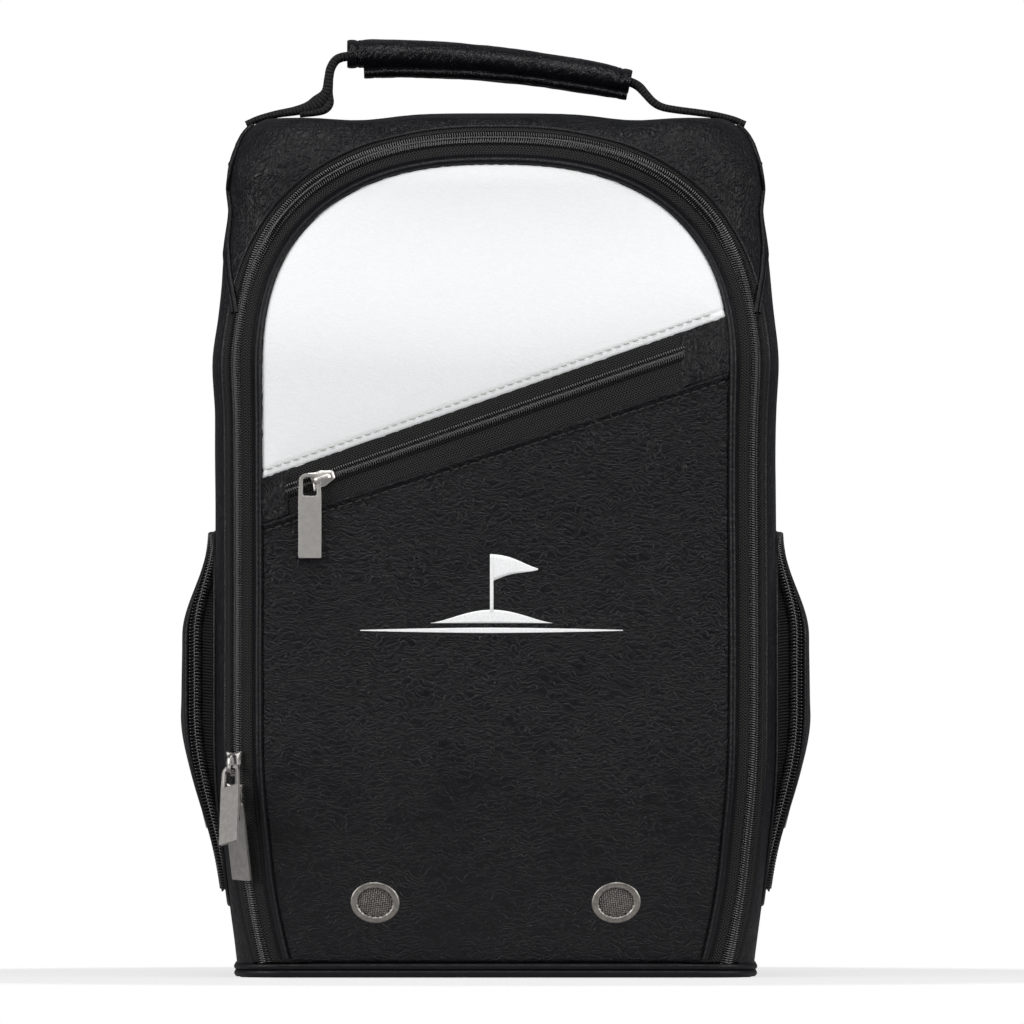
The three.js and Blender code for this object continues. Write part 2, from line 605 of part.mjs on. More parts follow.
function addSidePockets() {
  const clear = shellSolid(-GAP);
  const wall = (outer, inner) =>
    slabAlongX(pocketOutline(outer), 0, FAR).subtract(
      slabAlongX(pocketOutline(inner), -NEAR, 1.5 * FAR),
    );
  const coilIn = -LEATHER - COIL_PROUD;
  const tapeOut = coilIn - GAP;
  const gusset = wall(tapeOut, tapeOut - TAPE).intersect(withinChain(-CHANNEL)).subtract(clear);
  const fixedCoil = wall(0, coilIn)
    .intersect(withinChain(-CHANNEL).subtract(withinChain(-COIL_EDGE)))
    .subtract(clear);
  const coverFoot = box([0, -FAR, POCKET_FOOT + COVER_MOUTH], [FAR, FAR, HEIGHT]);
  const movingCoil = wall(0, coilIn)
    .intersect(withinChain(COIL_EDGE).subtract(withinChain(CHANNEL)))
    .subtract(clear)
    .intersect(coverFoot);
  const face = slabAlongX(pocketOutline(0), 0, FAR).intersect(
    withinChain(COVER_OVER + LEATHER).subtract(withinChain(COVER_OVER)),
  );
  const rim = wall(tapeOut, tapeOut - TAPE).intersect(
    withinChain(COVER_OVER + 0.1).subtract(withinChain(CHANNEL)),
  );
  const cover = face.add(rim).subtract(clear).intersect(coverFoot);
  for (const [name, place] of [["right", (b) => b], ["left", mirrored]]) {
    add("side_gusset_" + name, place(gusset), TAPE_CLOTH());
    add("side_zip_coil_fixed_" + name, place(fixedCoil), COIL_PLASTIC());
    add("side_zip_coil_cover_" + name, place(movingCoil), COIL_PLASTIC());
    add("side_cover_" + name, place(cover), BLACK_LEATHER());
  }
}

// ---- Handle ----
/** The strap's line above its two roots, as [x, z] points from left to right. */
function strapLine() {
  const [leftX, leftZ] = GRIP_LEFT;
  const [rightX, rightZ] = GRIP_RIGHT;
  const curve = new THREE.CatmullRomCurve3(
    [
      [ROOT_LEFT, HANDLE_PIVOT],
      [ROOT_LEFT - 1.4, mix(HANDLE_PIVOT, leftZ, 0.45)],
      [ROOT_LEFT + 1, leftZ - 4],
      [leftX, leftZ],
      [mix(leftX, rightX, 0.33), mix(leftZ, rightZ, 0.33) + GRIP_BOW],
      [mix(leftX, rightX, 0.67), mix(leftZ, rightZ, 0.67) + GRIP_BOW],
      [rightX, rightZ],
      [ROOT_RIGHT - 4.5, rightZ - 4],
      [ROOT_RIGHT, HANDLE_PIVOT],
    ].map(([x, z]) => new THREE.Vector3(x, 0, z)),
    false,
    "centripetal",
  );
  return curve.getPoints(30).map((p) => [p.x, p.z]);
}

/** A strip of even thickness that follows a line of [x, z] points, across the bag by a width. */
function strip(line, thickness, width) {
  const outer = moved(line, -thickness / 2);
  const inner = moved(line, thickness / 2).reverse();
  return slabAlongY([...outer, ...inner], -width / 2, width / 2);
}

function addHandle() {
  const anchors = layer(-STRAP - GAP, -GAP, PANEL_FOOT).intersect(
    box([-FAR, -STRAP_WIDTH / 2, SHOULDER], [FAR, STRAP_WIDTH / 2, HEIGHT + 50]),
  );
  const left = anchors.intersect(box([-ANCHOR_END, -FAR, 0], [ROOT_LEFT + 1.5, FAR, HEIGHT + 50]));
  const right = anchors.intersect(box([ROOT_RIGHT - 1.5, -FAR, 0], [ANCHOR_END, FAR, HEIGHT + 50]));
  add("strap_anchor_left", left, WEBBING());
  add("strap_anchor_right", right, WEBBING());

  const lift = STRAP + 2 * GAP;
  const half = STRAP_WIDTH / 2;
  const taper = slabAlongX(
    [
      [-1.5, HANDLE_PIVOT + lift],
      [1.5, HANDLE_PIVOT + lift],
      [half, HANDLE_PIVOT + lift + STRAP_TAPER],
      [half, HEIGHT + 60],
      [-half, HEIGHT + 60],
      [-half, HANDLE_PIVOT + lift + STRAP_TAPER],
    ],
    -FAR,
    FAR,
  );
  const [leftX, leftZ] = GRIP_LEFT;
  const [rightX, rightZ] = GRIP_RIGHT;
  const wide = strip(strapLine(), STRAP, STRAP_WIDTH).intersect(taper);
  const inGrip = box([leftX - 2, -FAR, HEIGHT], [rightX + 2, FAR, 2 * HEIGHT]);
  const folded = strip(strapLine(), STRAP, STRAP_FOLDED);
  const slot = strip(strapLine(), STRAP + 2 * GAP, STRAP_FOLDED + 2 * GAP);
  add("handle_strap", wide.subtract(inGrip).add(folded.intersect(inGrip)), WEBBING());

  const middle = new THREE.Vector3(mix(leftX, rightX, 0.5), 0, mix(leftZ, rightZ, 0.5) + GRIP_BOW);
  const path = new THREE.CatmullRomCurve3([
    new THREE.Vector3(leftX, 0, leftZ),
    middle,
    new THREE.Vector3(rightX, 0, rightZ),
  ]);
  const roll = (depth, height) => {
    const oval = new THREE.Shape().absellipse(0, 0, depth / 2, height / 2, 0, 2 * Math.PI);
    return solid(
      new THREE.ExtrudeGeometry(oval, { steps: 8, curveSegments: 10, extrudePath: path }),
    );
  };
  const inset = (by) => roll(GRIP_DEPTH - 2 * by, GRIP_HEIGHT - 2 * by);
  const filler = inset(LEATHER + GAP);
  const wrap = inset(0).subtract(inset(LEATHER));
  add("handle_filler", filler.subtract(slot), STIFFENER());
  add("handle_grip", wrap, BLACK_LEATHER());
}

// ---- Sliders and pulls ----
/**
 * A slider standing at the origin: it runs along +Y, its top plate faces +Z and z = 0 is the leather's surface.
 * Its back plate is only under the half of the chain at +X, the half that carries it. Lean is how far the
 * post, and the slot it runs in, move towards +X for each millimetre outwards.
 */
function sliderBody(lean, backWidth) {
  const [l, w] = [SLIDER_LENGTH / 2, SLIDER_WIDTH / 2];
  const plateFrom = COIL_PROUD + GAP;
  const top = plateFrom + SLIDER_PLATE;
  const half = [[w * 0.62, -l], [w, -l * 0.45], [w, l * 0.5], [w * 0.4, l]];
  const outline = [...half, ...half.map(([x, y]) => [-x, y]).reverse()];
  const shape = new THREE.Shape(outline.map(([x, y]) => new THREE.Vector2(x, y)));
  const flat = new THREE.ExtrudeGeometry(shape, { depth: SLIDER_PLATE, bevelEnabled: false });
  const plate = solid(flat.translate(0, 0, plateFrom));
  const under = -BOARD_DEPTH - SLIDER_UNDER;
  const back = under - SLIDER_PLATE;
  const slotAt = lean * (under - SLIDER_PLATE / 2);
  const backPlate = box([slotAt - POST, -l * 0.8, back], [backWidth, l * 0.8, under]);
  const post = loft([back + 0.1, plateFrom + 0.2].map((z) => [
    [lean * z - POST, -l * 0.5, z],
    [lean * z + POST, -l * 0.5, z],
    [lean * z + POST, l * 0.7, z],
    [lean * z - POST, l * 0.7, z],
  ]));
  const [b, s] = [BRIDGE_WIDTH / 2, BRIDGE_SPAN / 2];
  const bridge = box([-b, -s, top - 0.2], [b, s, top + BRIDGE_RISE]).subtract(
    box([-2 * b, BRIDGE_BAR - s, top], [2 * b, s - BRIDGE_BAR, top + BRIDGE_RISE - BRIDGE_BAR]),
  );
  return plate.add(post).add(backPlate).add(bridge);
}

/** A pull hanging from the origin along -Y, its face towards +Z and its loop's bar on the X axis. */
function pullBody() {
  const [neck, half, rise] = [PULL_NECK / 2, PULL_WIDTH / 2, PULL_BAR / 2];
  const chamfer = PULL_BAR * 0.8;
  const right = [
    [half, rise - PULL_LENGTH],
    [half, -rise - PULL_WINDOW_RISE - 1],
    [neck, rise - chamfer * 1.4],
    [neck - chamfer, rise],
  ];
  const points = [...right, ...right.map(([x, y]) => [-x, y]).reverse()];
  const outline = new THREE.Shape(points.map(([x, y]) => new THREE.Vector2(x, y)));
  const w = PULL_WINDOW / 2;
  const sill = -rise - PULL_WINDOW_RISE;
  const window = [[-w, -rise], [w, -rise], [w, sill], [-w, sill]];
  outline.holes.push(new THREE.Path(window.map(([x, y]) => new THREE.Vector2(x, y))));
  const flat = new THREE.ExtrudeGeometry(outline, { depth: PULL_THICK, bevelEnabled: false });
  return solid(flat.translate(0, 0, -PULL_THICK / 2));
}

/** Height of the bar that a pull turns on, halfway up the bridge's opening. */
const PULL_PIVOT_Z = COIL_PROUD + GAP + SLIDER_PLATE + (BRIDGE_RISE - BRIDGE_BAR) / 2;
/** Distance below the slider's middle of the bar, as it rests at the bottom of the bridge. */
const PULL_PIVOT_DROP = BRIDGE_SPAN / 2 - BRIDGE_BAR - PULL_BAR / 2 - 0.6;

/** Moves a solid into a frame of three axes at a point. */
function inFrame(body, x, y, z, at) {
  const basis = new THREE.Matrix4().makeBasis(x, y, z).setPosition(at);
  return body.transform(basis.elements);
}

/** Adds a slider. It runs along an axis, out points away from the bag and carry to the half that it rides on. */
function addSlider(name, at, out, carry, lean = 0, backWidth = SLIDER_WIDTH / 2) {
  const along = new THREE.Vector3().crossVectors(out, carry).normalize();
  add(name, inFrame(sliderBody(lean, backWidth), carry, along, out, at), NICKEL());
}

/** Adds a pull that hangs from a bar at a point, turned sideways by tilt and outwards by lift. */
function addPull(name, bar, hang, out, tilt = 0, lift = 0) {
  const across = new THREE.Vector3().crossVectors(out, hang).normalize();
  const turned = pullBody()
    .rotate([-THREE.MathUtils.radToDeg(lift), 0, 0])
    .rotate([0, 0, THREE.MathUtils.radToDeg(tilt)]);
  add(name, inFrame(turned, across.negate(), hang.clone().negate(), out, bar), NICKEL());
}

/** Yaw of the shell's surface under the upright runs of the main chain. */
const chainYaw = Math.asin((CHAIN_HALF - (HALF_WIDTH - FRONT_CORNER)) / FRONT_CORNER);

/** A point of the left chain's line on the outer surface, at height z. */
function chainPoint(z) {
  const foot = clamp01(z / KNEE);
  const x = mix(CHAIN_FOOT, CHAIN_HALF, foot);
  const plan = section(z);
  const across = x - (plan.half - FRONT_CORNER);
  const y = -plan.front + FRONT_CORNER - Math.sqrt(FRONT_CORNER ** 2 - across ** 2);
  return new THREE.Vector3(-x, y, z);
}

/** Where a pull's bar sits on a slider. */
function barOn(at, out, down) {
  return at.clone().addScaledVector(out, PULL_PIVOT_Z).addScaledVector(down, PULL_PIVOT_DROP);
}

function addMainSliders() {
  const out = new THREE.Vector3(-Math.sin(chainYaw), -Math.cos(chainYaw), 0);
  const down = new THREE.Vector3(0, 0, -1);
  const carry = new THREE.Vector3().crossVectors(out, down);
  const lean = Math.tan(chainYaw);
  const upper = chainPoint(KNEE + SLIDER_APART / 2);
  addSlider("main_slider_upper", upper, out, carry, lean);
  addPull("main_pull_upper", barOn(upper, out, down), down, out, -UPPER_PULL_TILT, UPPER_PULL_LIFT);

  const lower = chainPoint(KNEE - SLIDER_APART / 2);
  const slope = chainPoint(10).sub(chainPoint(KNEE - 1)).normalize();
  const lowerOut = out.clone().addScaledVector(slope, -out.dot(slope)).normalize();
  const lowerCarry = new THREE.Vector3().crossVectors(lowerOut, slope);
  addSlider("main_slider_lower", lower, lowerOut, lowerCarry, lean);
  addPull("main_pull_lower", barOn(lower, lowerOut, slope), slope, lowerOut);
}

function addPocketSlider() {
  const out = new THREE.Vector3(0, -1, 0);
  const up = new THREE.Vector3(-Math.sin(SLANT), 0, Math.cos(SLANT));
  const middle = slantZ(POCKET_SLIDER_X, POCKET_CHAIN);
  const at = new THREE.Vector3(POCKET_SLIDER_X, -FRONT, middle);
  addSlider("pocket_slider", at, out, up);
  // The foot of the bridge stands in the loop's opening, and the loop's right side passes under the bridge.
  const foot = (BRIDGE_SPAN - BRIDGE_BAR) / 2;
  const reach = BRIDGE_BAR / 2 * Math.cos(SLANT) + BRIDGE_WIDTH / 2 * Math.sin(SLANT);
  const x = POCKET_SLIDER_X - foot * Math.cos(SLANT) + reach + GAP - PULL_WINDOW / 2;
  const z = middle - foot * Math.sin(SLANT) + BRIDGE_WIDTH / 2 + 2 * GAP + PULL_BAR / 2;
  const bar = new THREE.Vector3(x, -FRONT - PULL_PIVOT_Z, z);
  addPull("pocket_pull", bar, new THREE.Vector3(0, 0, -1), out);
}

function addSideSliders() {
  const down = new THREE.Vector3(0, 0, -1);
  for (const [name, side] of [["right", 1], ["left", -1]]) {
    const out = new THREE.Vector3(0, 1, 0);
    const at = new THREE.Vector3(
      side * (section(SIDE_SLIDER_Z).half + GUSSET),
      POCKET_Y + POCKET_HALF - COIL_PROUD,
      SIDE_SLIDER_Z,
    );
    addSlider("side_slider_" + name, at, out, new THREE.Vector3(side, 0, 0), 0, COVER_OVER - 2 * GAP);
    addPull("side_pull_" + name, barOn(at, out, down), down, out);
  }
}

addShell();
addBase();
addStiffeners();
addLining();
addMainZip();
addFlap();
addFrontPocket();
addVents();
addSidePockets();
addHandle();
addMainSliders();
addPocketSlider();
addSideSliders();

export default bag;
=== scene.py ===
"""A golf shoe bag: an upright zipped case with a fold-down front, side pockets and a padded handle.

Lengths in this script are millimetres; meshes are written in metres. +Z is up and -Y is the front.
"""

import logging
import math
from dataclasses import dataclass
from enum import Enum
from typing import Iterable, Sequence

import bpy
import numpy as np
from mathutils import Matrix, Vector, noise


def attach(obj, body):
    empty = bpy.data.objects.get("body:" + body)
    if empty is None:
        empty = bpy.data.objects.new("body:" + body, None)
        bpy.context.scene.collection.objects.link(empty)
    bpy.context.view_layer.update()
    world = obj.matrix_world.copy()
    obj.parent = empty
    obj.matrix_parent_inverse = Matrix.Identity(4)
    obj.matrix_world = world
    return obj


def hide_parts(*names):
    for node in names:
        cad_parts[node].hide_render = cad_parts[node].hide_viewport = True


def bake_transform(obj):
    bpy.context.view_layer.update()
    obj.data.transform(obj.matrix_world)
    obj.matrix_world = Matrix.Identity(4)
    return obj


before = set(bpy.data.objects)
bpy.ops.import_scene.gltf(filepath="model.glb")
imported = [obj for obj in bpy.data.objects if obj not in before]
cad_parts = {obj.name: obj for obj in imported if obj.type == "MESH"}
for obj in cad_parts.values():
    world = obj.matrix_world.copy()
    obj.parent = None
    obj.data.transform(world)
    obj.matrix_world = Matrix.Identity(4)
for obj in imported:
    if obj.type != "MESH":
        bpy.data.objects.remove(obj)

LOG = logging.getLogger("shoe_bag")
MM = 0.001
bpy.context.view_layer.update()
SIDES = {-1: "left", 1: "right"}
OUTWARD = np.array([1.0, 0.0, 0.0])

Array = np.ndarray
Numbers = float | Array
Faces = Sequence[Sequence[int]]
Colour = tuple[float, float, float]
Piece = bpy.types.Object
Finish = bpy.types.Material
Socket = bpy.types.NodeSocket
Input = float | Sequence[float] | Socket


# ---------------------------------------------------------------- small sums


def mix(a: Numbers, b: Numbers, t: Numbers) -> Numbers:
    """Returns the value a share t of the way from a to b."""
    return a + (b - a) * t


def smooth(t: Numbers) -> Numbers:
    """Returns t eased at both ends, held between 0 and 1."""
    t = np.clip(t, 0.0, 1.0)
    return t * t * (3 - 2 * t)


def ends_close(count: int) -> Array:
    """Returns count shares from 0 to 1 that lie closer together towards both ends."""
    return (1 - np.cos(np.linspace(0, math.pi, count))) / 2


def turns(count: int) -> Array:
    """Returns count angles evenly round a circle, from 0."""
    return np.linspace(0, 2 * math.pi, count, endpoint=False)


def rows_of(*columns: Numbers) -> Array:
    """Returns rows of numbers from columns that stand side by side."""
    return np.column_stack(columns)


def left_of(way: Array) -> Array:
    """Returns flat ways turned a quarter to their left."""
    return rows_of(-way[:, 1], way[:, 0])


def unit(v: Array) -> Array:
    """Returns vectors scaled to length 1."""
    return v / np.maximum(np.linalg.norm(v, axis=-1, keepdims=True), 1e-9)


def resample(points: Array, pitch: float, closed: bool = False) -> Array:
    """Walks a line of points in even steps.

    Args:
        points: The line, one point a row.
        pitch: The wanted step, which is stretched a little to fit the line.
        closed: Whether the line runs back to its first point.

    Returns:
        The evenly spaced points; a closed line doesn't repeat its first point.
    """
    line = np.vstack([points, points[:1]]) if closed else points
    run = np.concatenate([[0], np.cumsum(np.linalg.norm(np.diff(line, axis=0), axis=1))])
    count = max(3, round(run[-1] / pitch))
    at = np.linspace(0, run[-1], count + 1)
    if closed:
        at = at[:-1]
    return np.stack([np.interp(at, run, line[:, k]) for k in range(line.shape[1])], axis=1)


def bumps(points: Array, size: float, seed: float = 0.0) -> Array:
    """Reads smooth noise at points.

    Args:
        points: Where it is read, one point a row.
        size: The size of its features in mm.
        seed: A shift to another part of the noise.

    Returns:
        Values from -1 to 1, one for each point.
    """
    return np.array([noise.noise(Vector(p) / size + Vector((seed, 0, 0))) for p in points])


# ---------------------------------------------------------------- meshes


def new_object(name: str, points: Array, faces: Faces) -> Piece:
    """Makes a smooth-shaded object.

    Args:
        name: The object's name.
        points: Its vertices in millimetres.
        faces: Vertex numbers, anticlockwise as seen from outside.

    Returns:
        The object, at the origin, with its place in its mesh.
    """
    mesh = bpy.data.meshes.new(name)
    mesh.from_pydata((np.asarray(points, float).reshape(-1, 3) * MM).tolist(), [], faces)
    mesh.polygons.foreach_set("use_smooth", [True] * len(mesh.polygons))
    made = bpy.data.objects.new(name, mesh)
    bpy.context.scene.collection.objects.link(made)
    return made


def grid_faces(rows: int, cols: int, wrap_rows: bool = False, wrap_cols: bool = False) -> list:
    """Joins a grid of points with quads.

    Args:
        rows: How many rows of points.
        cols: How many points in a row.
        wrap_rows: Whether the last row joins the first.
        wrap_cols: Whether the end of each row joins its start.

    Returns:
        The faces as vertex numbers, counted row by row.
    """
    r = np.arange(rows if wrap_rows else rows - 1)[:, None]
    c = np.arange(cols if wrap_cols else cols - 1)[None, :]
    r2, c2 = (r + 1) % rows, (c + 1) % cols
    quads = np.stack([r * cols + c, r * cols + c2, r2 * cols + c2, r2 * cols + c], axis=-1)
    return quads.reshape(-1, 4).tolist()


def only(obj: Piece) -> None:
    """Makes one object the only one selected, and the active one."""
    bpy.ops.object.select_all(action="DESELECT")
    obj.select_set(True)
    bpy.context.view_layer.objects.active = obj


def face_out(obj: Piece, merge: float = 0.002) -> None:
    """Joins an object's doubled points and turns its faces outwards.

    Args:
        obj: The object.
        merge: How near two points count as one, in mm.
    """
    only(obj)
    bpy.ops.object.mode_set(mode="EDIT")
    bpy.ops.mesh.select_all(action="SELECT")
    bpy.ops.mesh.remove_doubles(threshold=merge * MM)
    bpy.ops.mesh.normals_make_consistent(inside=False)
    bpy.ops.object.mode_set(mode="OBJECT")


def finish_modifier(obj: Piece, kind: str, **values: object) -> None:
    """Adds a modifier and applies it.

    Args:
        obj: The object.
        kind: The modifier's type.
        values: Its settings.
    """
    modifier = obj.modifiers.new(kind.title(), kind)
    for key, value in values.items():
        setattr(modifier, key, value)
    only(obj)
    bpy.ops.object.modifier_apply(modifier=modifier.name)


def thicken(obj: Piece, thickness: float) -> None:
    """Gives a sheet a thickness in mm, inwards from its face."""
    finish_modifier(obj, "SOLIDIFY", thickness=thickness * MM, offset=-1.0)


def soften_edges(obj: Piece, width: float, segments: int = 2, angle: float = 40) -> None:
    """Rounds an object's sharp edges and smooths its shading.

    Args:
        obj: The object.
        width: How wide the rounding is, in mm.
        segments: How many faces it has across.
        angle: The sharpest edge that is left, in degrees.
    """
    finish_modifier(
        obj,
        "BEVEL",
        width=width * MM,
        segments=segments,
        limit_method="ANGLE",
        angle_limit=math.radians(angle),
    )
    shade(obj, angle)


def shade(obj: Piece, angle: float = 40) -> None:
    """Shades an object smooth but for edges sharper than an angle in degrees."""
    only(obj)
    bpy.ops.object.shade_smooth_by_angle(angle=math.radians(angle))


def cut(obj: Piece, cutter: Piece, operation: str) -> None:
    """Cuts an object by another, which is used up."""
    finish_modifier(obj, "BOOLEAN", object=cutter, operation=operation, solver="MANIFOLD")
    bpy.data.objects.remove(cutter)


def join(name: str, parts: Iterable[Piece]) -> Piece:
    """Joins objects into one mesh.

    Args:
        name: Its name.
        parts: The objects, which are used up.

    Returns:
        The one object.
    """
    parts = list(parts)
    bpy.ops.object.select_all(action="DESELECT")
    for part in parts:
        part.select_set(True)
    bpy.context.view_layer.objects.active = parts[0]
    if len(parts) > 1:
        bpy.ops.object.join()
    parts[0].name = name
    return parts[0]


def points_of(obj: Piece) -> Array:
    """Returns an object's vertices in millimetres."""
    flat = np.empty(len(obj.data.vertices) * 3)
    obj.data.vertices.foreach_get("co", flat)
    return flat.reshape(-1, 3) / MM


def set_points(obj: Piece, points: Array) -> None:
    """Moves an object's vertices to points in millimetres."""
    obj.data.vertices.foreach_set("co", (points * MM).ravel())
    obj.data.update()


def add_uv(obj: Piece, uv: Array) -> None:
    """Gives an object a UV map in millimetres.

    Args:
        obj: The object.
        uv: One pair for each vertex.
    """
    layer = obj.data.uv_layers.new(name="UVMap")
    corner = np.empty(len(obj.data.loops), int)
    obj.data.loops.foreach_get("vertex_index", corner)
    layer.data.foreach_set("uv", uv.reshape(-1, 2)[corner].ravel())


def sheet(name: str, points: Array, uv: Array | None = None) -> Piece:
    """Makes an open sheet from a grid of points.

    Args:
        name: The object's name.
        points: The grid, rows by columns by 3.
        uv: The same grid's UV pairs, if it has a map.

    Returns:
        The sheet.
    """
    rows, cols = points.shape[:2]
    made = new_object(name, points, grid_faces(rows, cols))
    if uv is not None:
        add_uv(made, uv)
    return made


def sweep(name: str, rings: Array, closed: bool = False) -> Piece:
    """Makes a closed solid through rings of points.

    Args:
        name: The object's name.
        rings: The rings in order, each with as many points.
        closed: Whether the last ring joins the first, which leaves no ends.

    Returns:
        The solid, its faces outwards.
    """
    count, sides = rings.shape[:2]
    faces = grid_faces(count, sides, wrap_rows=closed, wrap_cols=True)
    if not closed:
        last = (count - 1) * sides
        faces.append(list(range(sides))[::-1])
        faces.append(list(range(last, last + sides)))
    made = new_object(name, rings, faces)
    face_out(made)
    shade(made, 50)
    return made


def bead(line: Array, up: Array, wide: Array, radius: float, sides: int) -> Array:
    """Draws a round bead along a line of points.

    Args:
        line: The line.
        up: A way square to it at each point.
        wide: The way square to both.
        radius: The radius.
        sides: How many points each ring has.

    Returns:
        The rings.
    """
    t = turns(sides)[None, :, None]
    return line[:, None] + radius * (np.cos(t) * up[:, None] + np.sin(t) * wide)


def copies(name: str, base: Array, faces: Faces, places: Array) -> Piece:
    """Repeats one small shape.

    Args:
        name: The object's name.
        base: The small shape's vertices, in its own axes.
        faces: Its faces, all of four corners.
        places: For each copy a 3 x 4 matrix: its axes as columns, then its middle.

    Returns:
        One object that holds all the copies.
    """
    turned = np.einsum("nij,vj->nvi", places[:, :, :3], base) + places[:, None, :, 3]
    step = np.arange(len(places))[:, None, None] * len(base)
    quads = (np.array(faces)[None] + step).reshape(-1, 4)
    made = new_object(name, turned, quads.tolist())
    if points_inwards(base, faces):
        made.data.flip_normals()
    return made


def points_inwards(base: Array, faces: Faces) -> bool:
    """Tells whether the faces of a small six-sided tube point into it.

    Args:
        base: The tube's points, ring by ring.
        faces: Its faces.

    Returns:
        True if they point inwards.
    """
    a, b, c = (base[i] for i in faces[len(faces) // 2][:3])
    ring = base.reshape(-1, 6, 3)
    half = len(ring) // 2
    middle = ring[half - 1 : half + 2].mean(axis=(0, 1))
    return bool(np.dot(np.cross(b - a, c - b), (a + c) / 2 - middle) < 0)


def extruded(name: str, outline: Sequence, low: float, high: float) -> Piece:
    """Draws an outline of [x, z] points out along Y, from y = low to y = high."""
    flat = np.array(outline, float)
    ring = lambda y: np.stack([flat[:, 0], np.full(len(flat), y), flat[:, 1]], axis=1)
    return sweep(name, np.stack([ring(low), ring(high)]))


def block(name: str, low: Sequence[float], high: Sequence[float]) -> Piece:
    """Makes a plain box to cut with.

    Args:
        name: Its name.
        low: Its lowest corner.
        high: Its highest corner.

    Returns:
        The box.
    """
    size = [b - a for a, b in zip(low, high)]
    middle = [(a + b) / 2 * MM for a, b in zip(low, high)]
    bpy.ops.mesh.primitive_cube_add(size=1, location=middle)
    made = bpy.context.active_object
    made.name = name
    made.scale = [v * MM for v in size]
    bpy.ops.object.transform_apply(location=True, rotation=True, scale=True)
    return made


def place(obj: Piece, body: str, finish: Finish, replaces: Sequence[str] = ()) -> Piece:
    """Dresses a finished piece and puts it on its body.

    Args:
        obj: The piece.
        body: The CAD body that it moves with.
        finish: Its material.
        replaces: The CAD nodes that it stands for.

    Returns:
        The piece.
    """
    obj.data.materials.clear()
    obj.data.materials.append(finish)
    if replaces:
        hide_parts(*replaces)
    if body:
        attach(obj, body)
    LOG.info("%s: %d faces", obj.name, len(obj.data.polygons))
    return obj


# ---------------------------------------------------------------- finishes


class Nodes:
    """A short way to write a node material."""

    def __init__(self, name: str) -> None:
        """Starts an empty material with a Principled shader."""
        self.material = bpy.data.materials.new(name)
        self.material.use_nodes = True
        self.tree = self.material.node_tree
        self.shader = self.tree.nodes["Principled BSDF"]

    def add(self, kind: str, settings: dict | None = None, **inputs: Input) -> bpy.types.Node:
        """Adds a node.

        Args:
            kind: The node's type, without "ShaderNode".
            settings: Its properties.
            inputs: A value or another socket for each socket, by its name with "_" for a space,
                or by "i" and its number.

        Returns:
            The node.
        """
        node = self.tree.nodes.new("ShaderNode" + kind)
        for key, value in (settings or {}).items():
            setattr(node, key, value)
        for key, value in inputs.items():
            by_number = key[0] == "i" and key[1:].isdigit()
            self.set(node.inputs[int(key[1:]) if by_number else key.replace("_", " ")], value)
        return node

    def set(self, socket: Socket, value: Input) -> None:
        """Sets a socket to a value, or links another socket to it."""
        if isinstance(value, bpy.types.NodeSocket):
            self.tree.links.new(value, socket)
        else:
            socket.default_value = value

    def object_mm(self, scale: Sequence[float] = (1, 1, 1)) -> Socket:
        """Returns the object's own coordinates, in units of so many to a millimetre."""
        place_in = self.add("TexCoord").outputs["Object"]
        return self.add("Mapping", Vector=place_in, Scale=[s / MM for s in scale]).outputs["Vector"]

    def uv_mm(self) -> Socket:
        """Returns the piece's own UV map, which is in millimetres."""
        return self.add("TexCoord").outputs["UV"]

    def maths(self, operation: str, a: Input, b: Input = 0.0, c: Input = 0.0) -> Socket:
        """Returns the result of a Math node."""
        return self.add("Math", {"operation": operation}, i0=a, i1=b, i2=c).outputs[0]

    def ramp(
        self, value: Input, low: float, high: float, to_low: float = 0.0, to_high: float = 1.0
    ) -> Socket:
        """Rescales a value and holds it inside its new range.

        Args:
            value: The value.
            low: Where its range starts.
            high: Where it ends.
            to_low: What low becomes.
            to_high: What high becomes.

        Returns:
            The new value.
        """
        span = dict(From_Min=low, From_Max=high, To_Min=to_low, To_Max=to_high)
        return self.add("MapRange", {"clamp": True}, Value=value, **span).outputs["Result"]

    def blend(self, share: Input, a: Colour, b: Colour) -> Socket:
        """Mixes two colours.

        Args:
            share: How far towards b.
            a: One colour.
            b: The other one.

        Returns:
            The mixed colour.
        """
        node = self.add("Mix", {"data_type": "RGBA"})
        self.set(node.inputs[0], share)
        self.set(node.inputs[6], (*a, 1))
        self.set(node.inputs[7], (*b, 1))
        return node.outputs[2]

    def bump(self, height: Socket, distance: float, below: Socket | None = None) -> Socket:
        """Bumps the surface.

        Args:
            height: The height, from 0 to 1.
            distance: How deep the relief is, in mm.
            below: A normal that it is laid over.

        Returns:
            The normal.
        """
        node = self.add("Bump", Height=height, Strength=1.0, Distance=distance * MM)
        if below is not None:
            self.set(node.inputs["Normal"], below)
        return node.outputs["Normal"]

    def surface(self, **inputs: Input) -> Finish:
        """Sets the shader's sockets by name, "_" for a space, and returns the material."""
        for key, value in inputs.items():
            self.set(self.shader.inputs[key.replace("_", " ")], value)
        return self.material


class Crease(Enum):
    """Which way a leather's creases run."""

    ACROSS = 0.0
    SLANTED = 62.0
    UPRIGHT = 90.0


